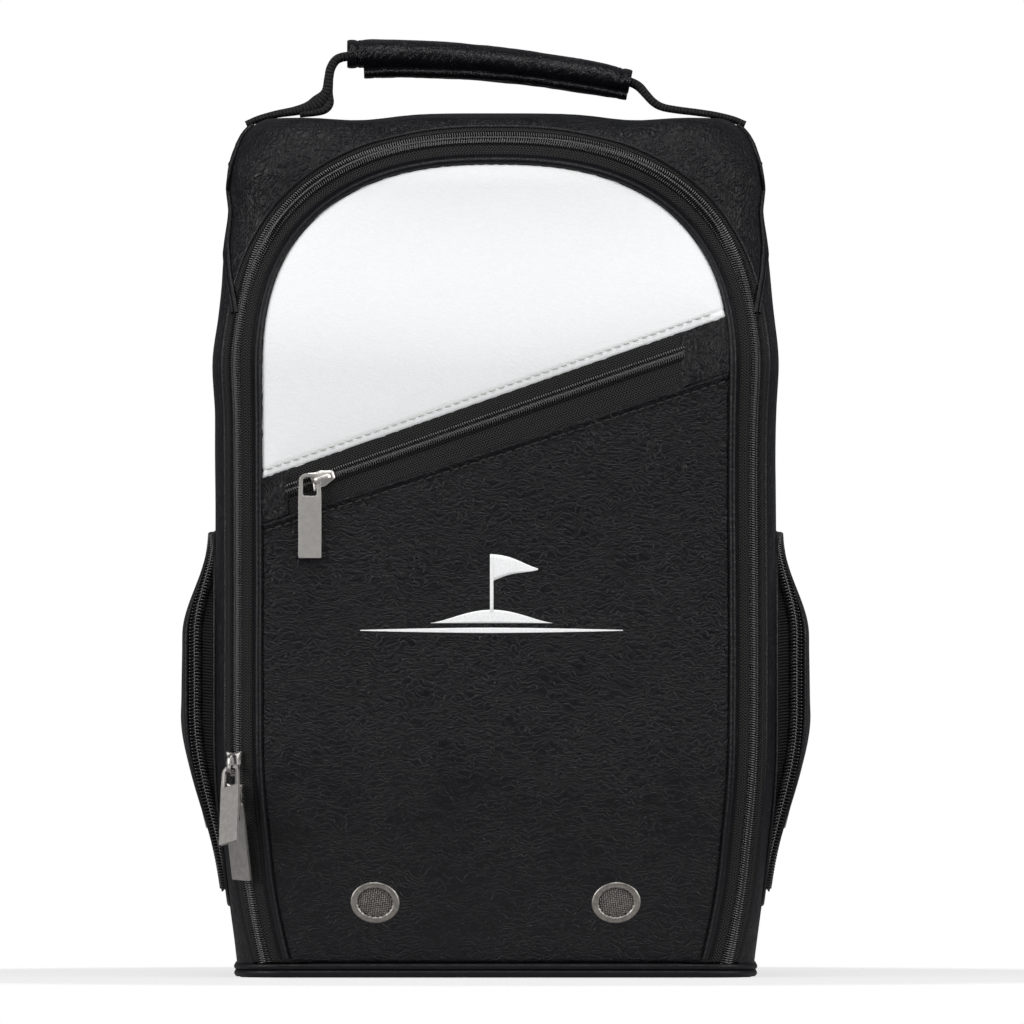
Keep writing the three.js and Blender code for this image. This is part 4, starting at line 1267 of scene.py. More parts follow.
@dataclass
class Case:
    """The fixed leather of the case, its seams and base."""

    shell: Shell
    zip: MainZip
    finishes: Finishes
    leather: float = 1.5
    foot: float = 2.3
    side_seam: float = 348.0
    back_seam: float = 52.0

    def corner_seam(self, extra: float = 0.0) -> Array:
        """Draws the right front seam.

        Args:
            extra: How far out it is moved.

        Returns:
            The seam, as [x, z] points upwards.
        """
        line = np.array(
            [[109.6, 284.0], [112.6, 300.0], [113.7, 313.0], [113.3, 326.0],
             [113.9, 337.0], [112.2, 347.0], [109.4, 356.0]]
        )
        return line + [extra, 0]

    def front_corners(self, name: str, extra: float) -> Piece:
        """Returns a cutter that holds the front corners of the top panel."""
        right = self.corner_seam(extra)
        outline = np.vstack([right, (right * [-1, 1])[::-1]])
        return extruded(name, outline, -200, -46)

    def zip_window(self, name: str, distance: float) -> Piece:
        """Makes a cutter that holds all that lies inside the zip's outline.

        Args:
            name: The cutter's name.
            distance: How far out the outline is moved.

        Returns:
            The cutter.
        """
        outline = self.zip.outline(distance)[::3]
        first, last = outline[0], outline[-1]
        outline = np.vstack([[first[0], -30], outline, [last[0], -30]])
        return extruded(name, outline[::-1], -200, -28)

    def leather_piece(self, name: str, keep: Piece, without: Piece | None = None) -> Piece:
        """Makes one piece of the case's leather.

        Args:
            name: The piece's name.
            keep: A cutter that holds the piece.
            without: A cutter that holds what is left out of it.

        Returns:
            The piece.
        """
        made = self.shell.layer(name, 0.0, self.leather, self.foot)
        cut(made, self.zip_window("window", self.zip.outer_shown + 0.6), "DIFFERENCE")
        cut(made, keep, "INTERSECT")
        if without:
            cut(made, without, "DIFFERENCE")
        settle(made)
        shade(made, 35)
        return made

    def build(self) -> None:
        """Builds the case's pieces."""
        f, far, under = self.finishes, 400.0, self.side_seam - 0.2
        keep = block("keep", (-far, -far, self.side_seam), (far, far, far + 100))
        cut(keep, self.front_corners("corner", 0.0), "UNION")
        made = self.leather_piece("top_leather", keep)
        place(made, "case", f.corner, ["top_panel"])
        for sign, word in SIDES.items():
            low, high = sorted((sign * 10.0, sign * far))
            keep = block("keep", (low, -far, -10), (high, self.back_seam, under))
            made = self.leather_piece("side_leather_" + word, keep, self.front_corners("corner", 0.2))
            place(made, "case", f.side, ["side_panel_" + word])
        keep = block("keep", (-far, self.back_seam + 0.2, -10), (far, far, under))
        made = self.leather_piece("back_leather", keep)
        place(made, "case", f.panel, ["back_panel"])
        self.build_seams()
        self.build_base()

    def tube(self, points: Array, radius: float) -> Array:
        """Returns rings of a round bead along a line of points."""
        way = unit(np.gradient(points, axis=0))
        up = unit(np.cross(np.cross(way, [0.3, 0.9, 0.31]), way))
        return bead(points, up, np.cross(way, up)[:, None], radius, 8)

    def build_seams(self) -> None:
        """Builds the piped front corner seams, the seams under the top panel and the two back seams."""
        for sign, word in SIDES.items():
            over_top = [[107.6, 360.6], [104.2, 364.2]]
            seam = resample(np.vstack([self.corner_seam(0.6), over_top]), 2.0) * [sign, 1]
            beads = []
            for k, (shift, raised, radius) in enumerate([(0.0, 0.35, 1.15), (1.9, 0.05, 0.95)]):
                half, _, _ = self.shell.plan(seam[:, 1])
                x = sign * np.minimum(np.abs(seam[:, 0]) + shift, half - 0.05)
                points = self.shell.on_front(x, seam[:, 1], raised)
                if shift:
                    points[:, 1] += np.maximum(0, np.abs(seam[:, 0]) + shift - half + 0.05) * 1.6
                beads.append(sweep(f"bead_{k}", self.tube(slump(points), radius)))
            made = join("corner_piping_" + word, beads)
            place(made, "case", self.finishes.plain, ["seam_piping_" + word])
        ring = self.shell.ring(self.side_seam, -0.2)
        behind = ring[ring[:, 1] > -44]
        order = np.argsort(np.arctan2(behind[:, 0], -behind[:, 1]) % (2 * math.pi))
        seam = slump(resample(behind[order], 2.5))
        made = sweep("top_seam_piping", self.tube(seam, 1.05))
        place(made, "case", self.finishes.plain)
        for sign, word in SIDES.items():
            z = np.linspace(7, self.side_seam - 1, 140)
            half, _, back = self.shell.plan(z)
            r = self.shell.back_corner
            across = np.clip(self.back_seam - (back - r), 0, r)
            x = sign * (half - r + np.sqrt(r * r - across * across) + 0.1)
            seam = slump(rows_of(x, np.full_like(z, self.back_seam + 0.1), z))
            made = sweep("back_seam_piping_" + word, self.tube(seam, 1.0))
            place(made, "case", self.finishes.plain)

    def build_base(self) -> None:
        """Builds the base's leather underside and sill, and the two-roll binding round its edge."""
        plate = self.shell.solid("base_leather", 0.75, 0.0)
        cut(plate, block("keep", (-300, -300, -1), (300, 300, 2.0)), "INTERSECT")
        sill = self.shell.layer("sill", 0.0, self.leather, 0.01)
        cut(sill, block("keep", (-80, -300, -1), (80, 0, 6.2)), "INTERSECT")
        cut(plate, sill, "UNION")
        shade(plate, 35)
        place(plate, "case", self.finishes.plain, ["base_panel"])
        profile = []
        for middle, radius in ((1.75, 1.55), (4.6, 1.35)):
            for angle in np.radians(np.linspace(-80, 80, 9)):
                profile.append((0.15 + radius * math.cos(angle), middle + radius * math.sin(angle)))
        profile += [(0.1, 5.9), (0.1, 0.35)]
        rings = []
        for out, z in profile:
            rings.append(self.shell.ring(max(z, 0.3), -out))
        made = sweep("base_piping", np.stack(rings, axis=1), closed=True)
        place(made, "case", self.finishes.plain, ["base_binding"])


# ---------------------------------------------------------------- the fold-down front


@dataclass
class Flap:
    """The front's leather panels, its slanted pocket, the stitching, the printed mark and the vents."""

    shell: Shell
    zip: MainZip
    finishes: Finishes
    foot: float = 6.7
    slope: float = 0.3495
    slant_height: float = 248.0
    pocket_chain: float = 8.3
    mouth: tuple[float, float] = (17.8, 22.6)
    tab_left: tuple[float, float] = (-101.0, -88.0)
    tab_right: tuple[float, float] = (79.0, 100.0)
    leather: float = 1.5
    seam_gap: float = 0.1
    edge_round: float = 1.3
    puff_reach: float = 9.0
    vent_x: float = 51.5
    vent_z: float = 32.5
    stitch_pitch: float = 4.0
    tab_thick: float = 1.2
    eyelet_hole: float = 8.7

    def slant(self, x: Array, down: Array | float = 0.0) -> Array:
        """Returns the height of the white panel's lower edge at x, moved down square to itself."""
        return self.slant_height + self.slope * x - down * math.hypot(1, self.slope)

    def mouth_drop(self, x: Array) -> Array:
        """Returns how far the pocket's mouth lies below the white panel's edge at x."""
        share = (x - self.tab_left[0]) / (self.tab_right[1] - self.tab_left[0])
        return mix(self.mouth[0], self.mouth[1], share)

    def field(self) -> Array:
        """Returns the panels' outline inside the piping, as [x, z] points from foot to foot."""
        return self.zip.outline(-self.zip.tape_shown - self.zip.piping - self.seam_gap)

    def skin(
        self, name: str, x: Array, z: Array, edges: Array, puff: float, lip: Array
    ) -> Piece:
        """Lays one leather panel on the front.

        Args:
            name: The piece's name.
            x: A grid of places across.
            z: The same grid's heights.
            edges: The panel's outline as [x, z] points.
            puff: How far its middle stands out.
            lip: How much further it stands out at each place, for turned edges and sewn grooves.

        Returns:
            The panel, with turned edges and its own thickness.
        """
        flat = np.stack([x.ravel(), z.ravel()], axis=1)
        gap = np.full(len(flat), 1e9)
        for k in range(0, len(flat), 4000):
            part = flat[k : k + 4000]
            gap[k : k + 4000] = np.sqrt(((part[:, None] - edges[None]) ** 2).sum(-1)).min(1)
        gap = gap.reshape(x.shape)
        inside = np.clip(gap / self.edge_round, 0, 1)
        turned = self.edge_round * (np.sqrt(1 - (1 - inside) ** 2) - 1) * 0.85
        raised = turned + puff * (1 - np.exp(-gap / self.puff_reach)) + lip
        points = self.shell.on_front(x, z, raised)
        made = sheet(name, points)
        leather_sheet(made, self.leather)
        return made

    def build(self) -> None:
        """Builds the flap's pieces."""
        self.build_white()
        self.build_black()
        self.build_tabs()
        self.build_pocket_zip()
        self.build_mark()

    def build_white(self) -> None:
        """Builds the white upper panel and its pale stitching."""
        field = self.field()
        spring = self.shell.spring
        arch = field[field[:, 1] > spring]
        over = arch[arch[:, 1] >= self.slant(arch[:, 0])]
        left, right = over[0, 0], over[-1, 0]
        x = mix(left, right, ends_close(150))
        top = np.interp(x, over[:, 0], over[:, 1])
        low = self.slant(x)
        share = ends_close(90)[:, None]
        z = mix(low[None], np.maximum(top, low + 0.02)[None], share)
        grid_x = np.broadcast_to(x[None], z.shape)
        side = np.linspace(self.slant(left), spring, 60)
        bottom = rows_of(x, low)
        edges = [resample(over, 0.6), rows_of(np.full(60, left), side), resample(bottom, 0.6)]
        square = 1 / math.hypot(1, self.slope)
        groove = -0.35 * np.exp(-((((z - low[None]) * square - 3.1) / 0.7) ** 2))
        made = self.skin("white_leather", grid_x, z, np.vstack(edges), 1.1, groove)
        place(made, "flap", self.finishes.white, ["white_panel"])
        line = np.linspace(left + 3, right - 8, 400)
        thread = self.finishes.pale_thread
        self.build_stitches("white_stitching", line, self.slant(line, -3.1), 0.95, thread)

    def build_black(self) -> None:
        """Builds the black lower panel and the stitching along the pocket's mouth."""
        field = self.field()
        half_at = len(field) // 2
        leg = field[:half_at]
        leg = leg[leg[:, 1] < self.shell.spring + 40]
        across = mix(-1, 1, ends_close(170))[None]
        share = ends_close(190)[:, None]
        widest = np.interp(self.shell.spring, leg[:, 1], -leg[:, 0])
        top = self.slant(across * widest, self.mouth_drop(across * widest))
        z = mix(self.foot, top, share)
        half = np.interp(z, leg[:, 1], -leg[:, 0])
        x = across * half
        heights = np.linspace(self.foot, self.shell.spring + 10, 420)
        side = np.interp(heights, leg[:, 1], -leg[:, 0])
        top_x = np.linspace(-widest, widest, 330)
        top_z = self.slant(top_x, self.mouth_drop(top_x))
        edges = np.vstack(
            [
                rows_of(-side, heights)[heights < top_z[0]],
                rows_of(side, heights)[heights < top_z[-1]],
                rows_of(top_x, top_z),
                rows_of(np.linspace(-side[0], side[0], 300), np.full(300, self.foot)),
            ]
        )
        below = (top - z) / math.hypot(1, self.slope)
        lip = 0.75 * np.exp(-(((below - 1.2) / 0.9) ** 2)) - 0.5 * np.exp(-(((below - 3.6) / 0.8) ** 2))
        made = self.skin("black_leather_front", x, z, edges, 1.3, lip)
        turn = turns(48)
        for side in SIDES:
            hole = Vent(self, self.finishes, side)
            r = self.eyelet_hole
            rings = [rows_of(r * np.cos(turn), r * np.sin(turn), 0 * turn + h) for h in (-6, 6)]
            cut(made, sweep("eyelet_hole", hole.put(np.stack(rings))), "DIFFERENCE")
        place(made, "flap", self.finishes.panel, ["black_panel"])
        line = np.linspace(-widest + 3, widest - 3, 400)
        drop = self.mouth_drop(line) + 3.6
        self.build_stitches("black_stitching", line, self.slant(line, drop), 1.15, self.finishes.thread)

    def build_stitches(
        self, name: str, x: Array, z: Array, raised: float, finish: Finish
    ) -> None:
        """Builds a row of stitches sunk into the leather along a line.

        Args:
            name: The row's name.
            x: The line's places across.
            z: Its heights.
            raised: How far off the surface the thread lies.
            finish: The thread.
        """
        line = resample(rows_of(x, z), self.stitch_pitch)
        low, high = (self.shell.on_front(*line.T, r) for r in (raised, raised + 1))
        here, up = slump(low), unit(high - low)
        along = unit(np.gradient(here, axis=0))
        side = np.cross(up, along)
        places = np.stack([along, side, up, here], axis=2)
        t = np.linspace(-1, 1, 7)
        length = self.stitch_pitch * 0.36
        ring = turns(6)
        radius = 0.36 * np.sqrt(np.maximum(1 - t**4, 0.12))
        sag = -0.42 * t**4
        base = np.stack(
            [
                np.broadcast_to((t * length)[:, None], (7, 6)),
                radius[:, None] * np.cos(ring)[None],
                sag[:, None] + radius[:, None] * np.sin(ring)[None],
            ],
            axis=-1,
        ).reshape(-1, 3)
        faces = grid_faces(7, 6, wrap_cols=True)
        made = copies(name, base, faces, places)
        place(made, "flap", finish)

    def build_tabs(self) -> None:
        """Builds the leather tabs over the two ends of the pocket's zip."""
        limit = self.field_half()
        ends = (("left", -limit, self.tab_left[1], 1), ("right", limit, self.tab_right[0], -1))
        for word, outer, inner, fold in ends:
            a, b = sorted((outer, inner))
            x = mix(a, b, ends_close(50))[None]
            share = ends_close(50)[:, None]
            z = mix(self.slant(x, self.mouth_drop(x) - 0.1), self.slant(x, 0.1), share)
            x = np.broadcast_to(x, z.shape)
            ridge = np.exp(-(((x - inner + fold * 2.6) / 0.9) ** 2))
            ridge = ridge + 0.7 * np.exp(-(((x - inner + fold * 5.4) / 0.8) ** 2))
            gap = np.abs(x - inner)
            turned = np.clip(gap / 1.2, 0, 1)
            raised = 0.1 + 1.2 * (np.sqrt(1 - (1 - turned) ** 2) - 1) + 0.6 * ridge
            wrinkles = bumps(np.stack([x * 2.2, z, 0 * z], -1).reshape(-1, 3), 7.0, 5.0)
            raised = raised + 0.5 * wrinkles.reshape(z.shape)
            made = sheet("pocket_tab_" + word, self.shell.on_front(x, z, raised))
            leather_sheet(made, self.tab_thick)
            place(made, "flap", self.finishes.side, ["pocket_end_tab_" + word])

    def field_half(self) -> float:
        """Returns half the width of the panels' field on its straight part."""
        return self.zip.chain_half - self.zip.tape_shown - self.zip.piping - self.seam_gap

    def pocket_line(self, low: float, high: float, pitch: float) -> ZipLine:
        """Returns the pocket's chain line from one place across to another, in steps of a pitch."""
        x = np.linspace(low, high, 300)
        return ZipLine.along(self.shell, rows_of(x, self.slant(x, self.pocket_chain)), pitch)

    def build_pocket_zip(self) -> None:
        """Builds the pocket's two tapes and its chain."""
        coil = self.zip.coil
        reach = self.field_half() + 1.5
        whole = self.pocket_line(-reach, reach, 2.0)
        run = whole.run()
        drop = self.mouth_drop(whole.at[:, 0]) - self.pocket_chain
        for word, inner, outer in (("upper", 0.3, self.pocket_chain + 4.0), ("lower", None, -0.3)):
            count = 11
            if word == "upper":
                across = np.broadcast_to(np.linspace(inner, outer, count)[None], (len(run), count))
            else:
                across = mix(-(drop + 4.0)[:, None], outer, np.linspace(0, 1, count)[None])
            x = whole.at[:, :1] + whole.out[:, :1] * across
            z = whole.at[:, 1:] + whole.out[:, 1:] * across
            points = self.shell.on_front(x, z, coil.tape_raised)
            points = slump(points.reshape(-1, 3)).reshape(points.shape)
            uv = np.stack(np.broadcast_arrays(run[:, None], across), axis=-1)
            made = sheet("pocket_tape_" + word, points, uv)
            thicken(made, coil.tape_thick)
            place(made, "flap", self.finishes.tape, ["pocket_zip_tape_" + word])
        chain = self.pocket_line(self.tab_left[1] - 2, self.tab_right[0] + 2, coil.pitch)
        frames = chain.frames(-0.1)
        for hand, word in ((1, "upper"), (-1, "lower")):
            made = coil.row("pocket_coil_" + word, frames, hand)
            place(made, "flap", self.finishes.coil, ["pocket_zip_coil_" + word])

    def build_mark(self) -> None:
        """Builds the printed mark: a plain flag in a hole on a stretch of ground."""
        raised = 1.3 + 0.16
        middle, ground_height, hill_foot, hill_top = -1.7, 148.5, 151.6, 151.7
        t = np.linspace(-1, 1, 81)
        x, bar = 56 * t + middle, 0.5 * 1.9 * (1 - np.abs(t) ** 1.6) + 0.18
        ground = np.stack([rows_of(x, ground_height + side * bar) for side in (-1, 1)])
        t = np.linspace(-1, 1, 61)
        x, rise = 26 * t + middle, 5.6 * np.cos(t * math.pi / 2) ** 1.4
        green = np.stack([rows_of(x, hill_foot + 0 * rise), rows_of(x, hill_top + rise)])
        pole = np.array([[[-2.4, 156.2], [-0.9, 156.2]], [[-2.4, 181.0], [-0.9, 181.0]]], float)
        pole = np.stack([mix(pole[0], pole[1], s) for s in np.linspace(0, 1, 14)])
        share = np.linspace(0, 1, 16)[:, None]
        wave = 0.7 * np.sin(share * math.pi * 1.5)
        edges = (mix(169.6, 175.0, share), mix(181.0, 175.6, share))
        flag = np.stack([np.concatenate([-0.9 + 19 * share, edge + wave], 1) for edge in edges])
        parts = []
        for k, outline in enumerate((ground, green, pole, flag)):
            rows = outline
            if len(outline) == 2:
                rows = np.stack([mix(outline[0], outline[1], s) for s in np.linspace(0, 1, 7)])
            points = self.shell.on_front(rows[..., 0], rows[..., 1], raised)
            points = slump(points.reshape(-1, 3)).reshape(points.shape)
            part = sheet(f"mark_{k}", points)
            thicken(part, 0.12)
            face_out(part, 0.001)
            parts.append(part)
        made = join("printed_mark", parts)
        place(made, "flap", self.finishes.print)


# ---------------------------------------------------------------- vents


@dataclass
class Vent:
    """A plated eyelet with a knurled inner rim and a woven wire mesh."""

    flap: Flap
    finishes: Finishes
    side: int
    flange: float = 10.6
    bore: float = 7.9
    pitch: float = 0.95
    wire: float = 0.2
    squash: float = 0.86
    turn: float = 7.0

    def frame(self) -> Array:
        """Returns the vent's 3 x 4 placing matrix, its third axis out of the flap."""
        x, z = self.side * self.flap.vent_x, self.flap.vent_z
        low, high = (self.flap.shell.on_front(x, z, r).reshape(3) for r in (1.0, 2.0))
        out = high - low
        across = unit(np.cross(np.array([0.0, 0.0, 1.0]), out))
        return np.stack([across, np.cross(out, across), out, slump(low[None])[0]], axis=1)

    def put(self, points: Array) -> Array:
        """Moves points from the vent's own axes to the bag's.

        Args:
            points: The points, on the vent's own axes.

        Returns:
            The same points on the bag's axes.
        """
        frame_at, a = self.frame(), math.radians(self.turn) * self.side
        lay = np.array([[math.cos(a), math.sin(a), 0], [-math.sin(a), math.cos(a), 0], [0, 0, 1]])
        return (points * [1, self.squash, 1]) @ lay @ frame_at[:, :3].T + frame_at[:, 3]

    def build(self) -> None:
        """Builds the ring and the mesh."""
        word = SIDES[self.side]
        f, b = self.flange, self.bore
        profile = [(b - 0.9, -2.5), (b - 0.5, 0.1), (b - 0.1, 0.55), (b + 0.5, 0.75), (f - 0.9, 0.62)]
        profile += [(f - 0.25, 0.4), (f, 0.05), (f, -0.5), (b + 0.4, -0.5), (b + 0.4, -2.5)]
        turn = turns(96)
        knurl = 0.16 * np.sign(np.sin(turn * 24))
        radius = np.array([r for r, _ in profile])[None, :] + 0 * turn[:, None]
        radius[:, 0:3] -= knurl[:, None] * [1.0, 1.0, 0.3]
        height = np.array([h for _, h in profile])[None, :] + 0 * turn[:, None]
        rings = np.stack([radius * np.cos(turn)[:, None], radius * np.sin(turn)[:, None], height], axis=-1)
        ring = sweep("vent_ring_plated_" + word, self.put(rings), closed=True)
        place(ring, "flap", self.finishes.vent, ["vent_ring_" + word])
        reach = b - 0.7
        count = int(reach / self.pitch)
        quarter = turns(4) + math.pi / 4
        points, faces = [], []
        for way in (0, 1):
            for k in range(-count, count + 1):
                v = k * self.pitch
                half = math.sqrt(max(reach * reach - v * v, 0.04))
                steps = max(4, int(2 * half / (self.pitch / 2)))
                u = np.linspace(-half, half, steps)
                lift = 0.14 * np.cos(math.pi * (u / self.pitch + k + way)) - 0.25 - 0.006 * (u * u + v * v)
                section = self.wire * np.stack([np.cos(quarter), np.sin(quarter)], axis=1)
                tube = np.empty((steps, 4, 3))
                tube[..., way] = u[:, None]
                tube[..., 1 - way] = v + section[None, :, 0]
                tube[..., 2] = lift[:, None] + section[None, :, 1]
                start = sum(len(p) for p in points)
                flip = -1 if way == 0 else 1
                faces += [[i + start for i in q[::flip]] for q in grid_faces(steps, 4, wrap_cols=True)]
                points.append(tube.reshape(-1, 3))
        mesh = new_object("vent_wire_" + word, self.put(np.vstack(points)), faces)
        place(mesh, "flap", self.finishes.vent, ["vent_mesh_" + word])
        disc = [np.stack([r * np.cos(turn), r * np.sin(turn), 0 * turn - 1.2], -1) for r in (0.01, b - 0.6)]
        faces = grid_faces(2, 96, wrap_cols=True)
        back = new_object("vent_shade_" + word, self.put(np.stack(disc)), faces)
        thicken(back, 0.3)
        place(back, "flap", self.finishes.lining)


# ---------------------------------------------------------------- side pockets


@dataclass
class SidePocket:
    """A domed side pocket: cloth gusset, chain round its edge, and a leather cover that folds down."""

    shell: Shell
    finishes: Finishes
    side: int
    foot: float = 31.0
    top: float = 190.0
    half: float = 46.0
    power: float = 3.2
    full: tuple[float, float] = (114.0, 146.0)
    gusset: float = 8.9
    gusset_end: float = 0.7
    slider_height: float = 100.0
    cover_over: float = 3.0
    cover_mouth: float = 5.5
    coil: CoilZip = CoilZip()

    def outline(self) -> Array:
        """Returns the pocket's outline from the side as [y, z] points."""
        t = turns(420)
        y, z = (np.sign(v) * np.abs(v) ** (2 / self.power) for v in (np.cos(t), np.sin(t)))
        return rows_of(self.half * y, (self.top + self.foot) / 2 + (self.top - self.foot) / 2 * z)

    def fullness(self, z: Array) -> Array:
        """Returns how far open the gusset stands at heights z, from 0 at the ends to 1."""
        rise = smooth((z - self.foot) / (self.full[0] - self.foot)) ** 1.25
        fall = smooth((self.top - z) / (self.top - self.full[1]))
        return np.minimum(rise, fall)

    def chain_x(self, z: Array) -> Array:
        """Returns how far out the chain stands at heights z."""
        half, _, _ = self.shell.plan(z)
        return half + mix(self.gusset_end, self.gusset, self.fullness(z))

    def over(self, z: Array) -> Array:
        """Returns how far the cover's edge stands out beyond the chain at heights z."""
        return mix(1.1, self.cover_over, self.fullness(z))

    def loop(self) -> tuple[Array, Array]:
        """Returns the chain's line as [x, y, z] points in even steps, and the outward way at each."""
        flat = self.outline()
        line = rows_of(self.chain_x(flat[:, 1]), flat)
        line = resample(line, self.coil.pitch, closed=True)
        way = unit(np.roll(line, -1, axis=0) - np.roll(line, 1, axis=0))
        out = np.cross(way, OUTWARD)
        return line, unit(out) * np.array([0, 1, 1])

    def lowest_step(self, line: Array) -> int:
        """Returns which step of the chain's line lies at the middle of the pocket's foot."""
        return int(np.argmin(np.abs(line[:, 1]) + 1000 * (line[:, 2] > self.foot + 20)))

    def flip(self, points: Array) -> Array:
        """Returns points on this pocket's side of the bag."""
        return points * np.array([self.side, 1, 1])

    def strip(self, name: str, offsets: Sequence, raised: Sequence, keep: float | None = None) -> Piece:
        """Returns a closed band round the pocket.

        Args:
            name: The piece's name.
            offsets: Distances out from the chain along X; None means the side panel.
            raised: Heights above the pocket's outline, one for each.
            keep: The lowest height that is kept, if any.

        Returns:
            The band, with a UV map along and across.
        """
        line, out = self.loop()
        half, _, _ = self.shell.plan(line[:, 2])
        columns = []
        for offset, height in zip(offsets, raised):
            reach = self.over(line[:, 2]) if offset is None or offset > 0 else line[:, 0] - half
            x = half + 0.3 if offset is None else line[:, 0] + offset * reach
            point = line + out * height
            columns.append(rows_of(x, point[:, 1:]))
        grid = np.stack(columns, axis=1)
        if keep is not None:
            grid = np.roll(grid, -self.lowest_step(line), axis=0)
            grid = grid[grid[:, 0, 2] >= keep]
        count = len(grid)
        faces = grid_faces(count, len(offsets), wrap_rows=keep is None)
        if self.side > 0:
            faces = [f[::-1] for f in faces]
        made = new_object(name, self.flip(grid), faces)
        run = np.arange(count) * self.coil.pitch
        across = np.concatenate([[0], np.cumsum(np.linalg.norm(np.diff(grid[count // 4], axis=0), axis=1))])
        add_uv(made, np.stack(np.broadcast_arrays(run[:, None], across[None]), axis=-1))
        return made

    def build(self) -> None:
        """Builds the pocket's pieces."""
        word = SIDES[self.side]
        f, body = self.finishes, "side_cover_" + word
        span = 12
        gusset = self.strip(
            "pocket_gusset_" + word,
            [None] + [mix(-0.95, -0.02, k / (span - 1)) for k in range(span)],
            [-1.7] + [-1.75 + 0.5 * math.sin(math.pi * k / (span - 1)) for k in range(span)],
        )
        thicken(gusset, 0.8)
        place(gusset, "case", f.tape, ["side_gusset_" + word])
        line, out = self.loop()
        along = unit(np.cross(out, OUTWARD))
        places = np.stack([along, np.broadcast_to(OUTWARD, along.shape), out, line], axis=2)
        lowest = self.foot + self.cover_mouth
        moving = places[line[:, 2] > lowest + 1.0]
        for hand, row, at, on in ((1, "cover", moving, body), (-1, "case", places, "case")):
            made = self.coil.row(f"side_coil_{row}_{word}", at, hand)
            set_points(made, self.flip(points_of(made)))
            if self.side < 0:
                made.data.flip_normals()
            node = "side_zip_coil_cover_" if row == "cover" else "side_zip_coil_fixed_"
            place(made, on, f.coil, [node + word])
        self.build_cover(word, body)
        half, _, _ = self.shell.plan(line[:, 2])
        seam = rows_of(half + 0.5, line[:, 1:])
        ring = bead(seam, out, OUTWARD, 1.1, 9)
        piping = sweep("pocket_seam_piping_" + word, self.flip(ring[::2]), closed=True)
        place(piping, "case", f.plain)

    def build_cover(self, word: str, body: str) -> None:
        """Builds the leather cover: its domed face, its turned edge and the tape behind it.

        Args:
            word: Which side.
            body: The CAD body that it moves with.
        """
        f = self.finishes
        flat = resample(self.outline(), 1.6, closed=True)
        middle = np.array([0.0, (self.foot + self.top) / 2])
        lowest = self.foot + self.cover_mouth
        shares = np.concatenate([[1.0, 0.998, 0.992, 0.984, 0.97], np.linspace(0.94, 0.02, 34)])
        rows = []
        for share in shares:
            at = middle + (flat - middle) * share
            at[:, 1] = np.maximum(at[:, 1], lowest)
            edge = np.clip((1 - share) * 46 / 1.5, 0, 1)
            dome = 1.5 * (math.sqrt(1 - (1 - edge) ** 2) - 1) + 2.0 * (1 - share**2)
            out = dome * (0.35 + 0.65 * self.fullness(at[:, 1]))
            x = self.chain_x(at[:, 1]) + self.over(at[:, 1]) + 1.4 + out
            rows.append(rows_of(x, at))
        grid = np.stack(rows)
        wave = bumps(grid.reshape(-1, 3), 24.0, 5.5).reshape(grid.shape[:2])
        grid[..., 0] += wave * 0.5 * (1 - shares[:, None])
        faces = grid_faces(len(shares), len(flat), wrap_cols=True)
        centre = len(shares) * len(flat)
        points = np.vstack([grid.reshape(-1, 3), grid[-1].mean(0)])
        last = centre - len(flat)
        faces += [[last + i, last + (i + 1) % len(flat), centre] for i in range(len(flat))]
        made = new_object("pocket_cover_" + word, self.flip(points), faces)
        face_out(made)
        outwards = sum(p.normal.x * p.area for p in made.data.polygons)
        if outwards * self.side < 0:
            made.data.flip_normals()
        thicken(made, 1.4)
        shade(made, 60)
        place(made, body, f.side, ["side_cover_" + word])
        tape = self.strip(
            "pocket_cover_tape_" + word,
            list(np.linspace(0.2, 1.0, 6)),
            [-1.75] * 6,
            keep=lowest,
        )
        thicken(tape, 0.8)
        place(tape, body, f.tape)
        line, out = self.loop()
        start = -self.lowest_step(line)
        line, out = np.roll(line, start, axis=0), np.roll(out, start, axis=0)
        held = line[:, 2] > lowest
        line, out = line[held], out[held]
        rim = line - out * 0.5
        rim[:, 0] += self.over(line[:, 2]) + 0.7
        ring = bead(rim, out, OUTWARD, 1.0, 9)
        piping = sweep("pocket_cover_piping_" + word, self.flip(ring[::2]))
        place(piping, body, f.plain)


# ---------------------------------------------------------------- handle


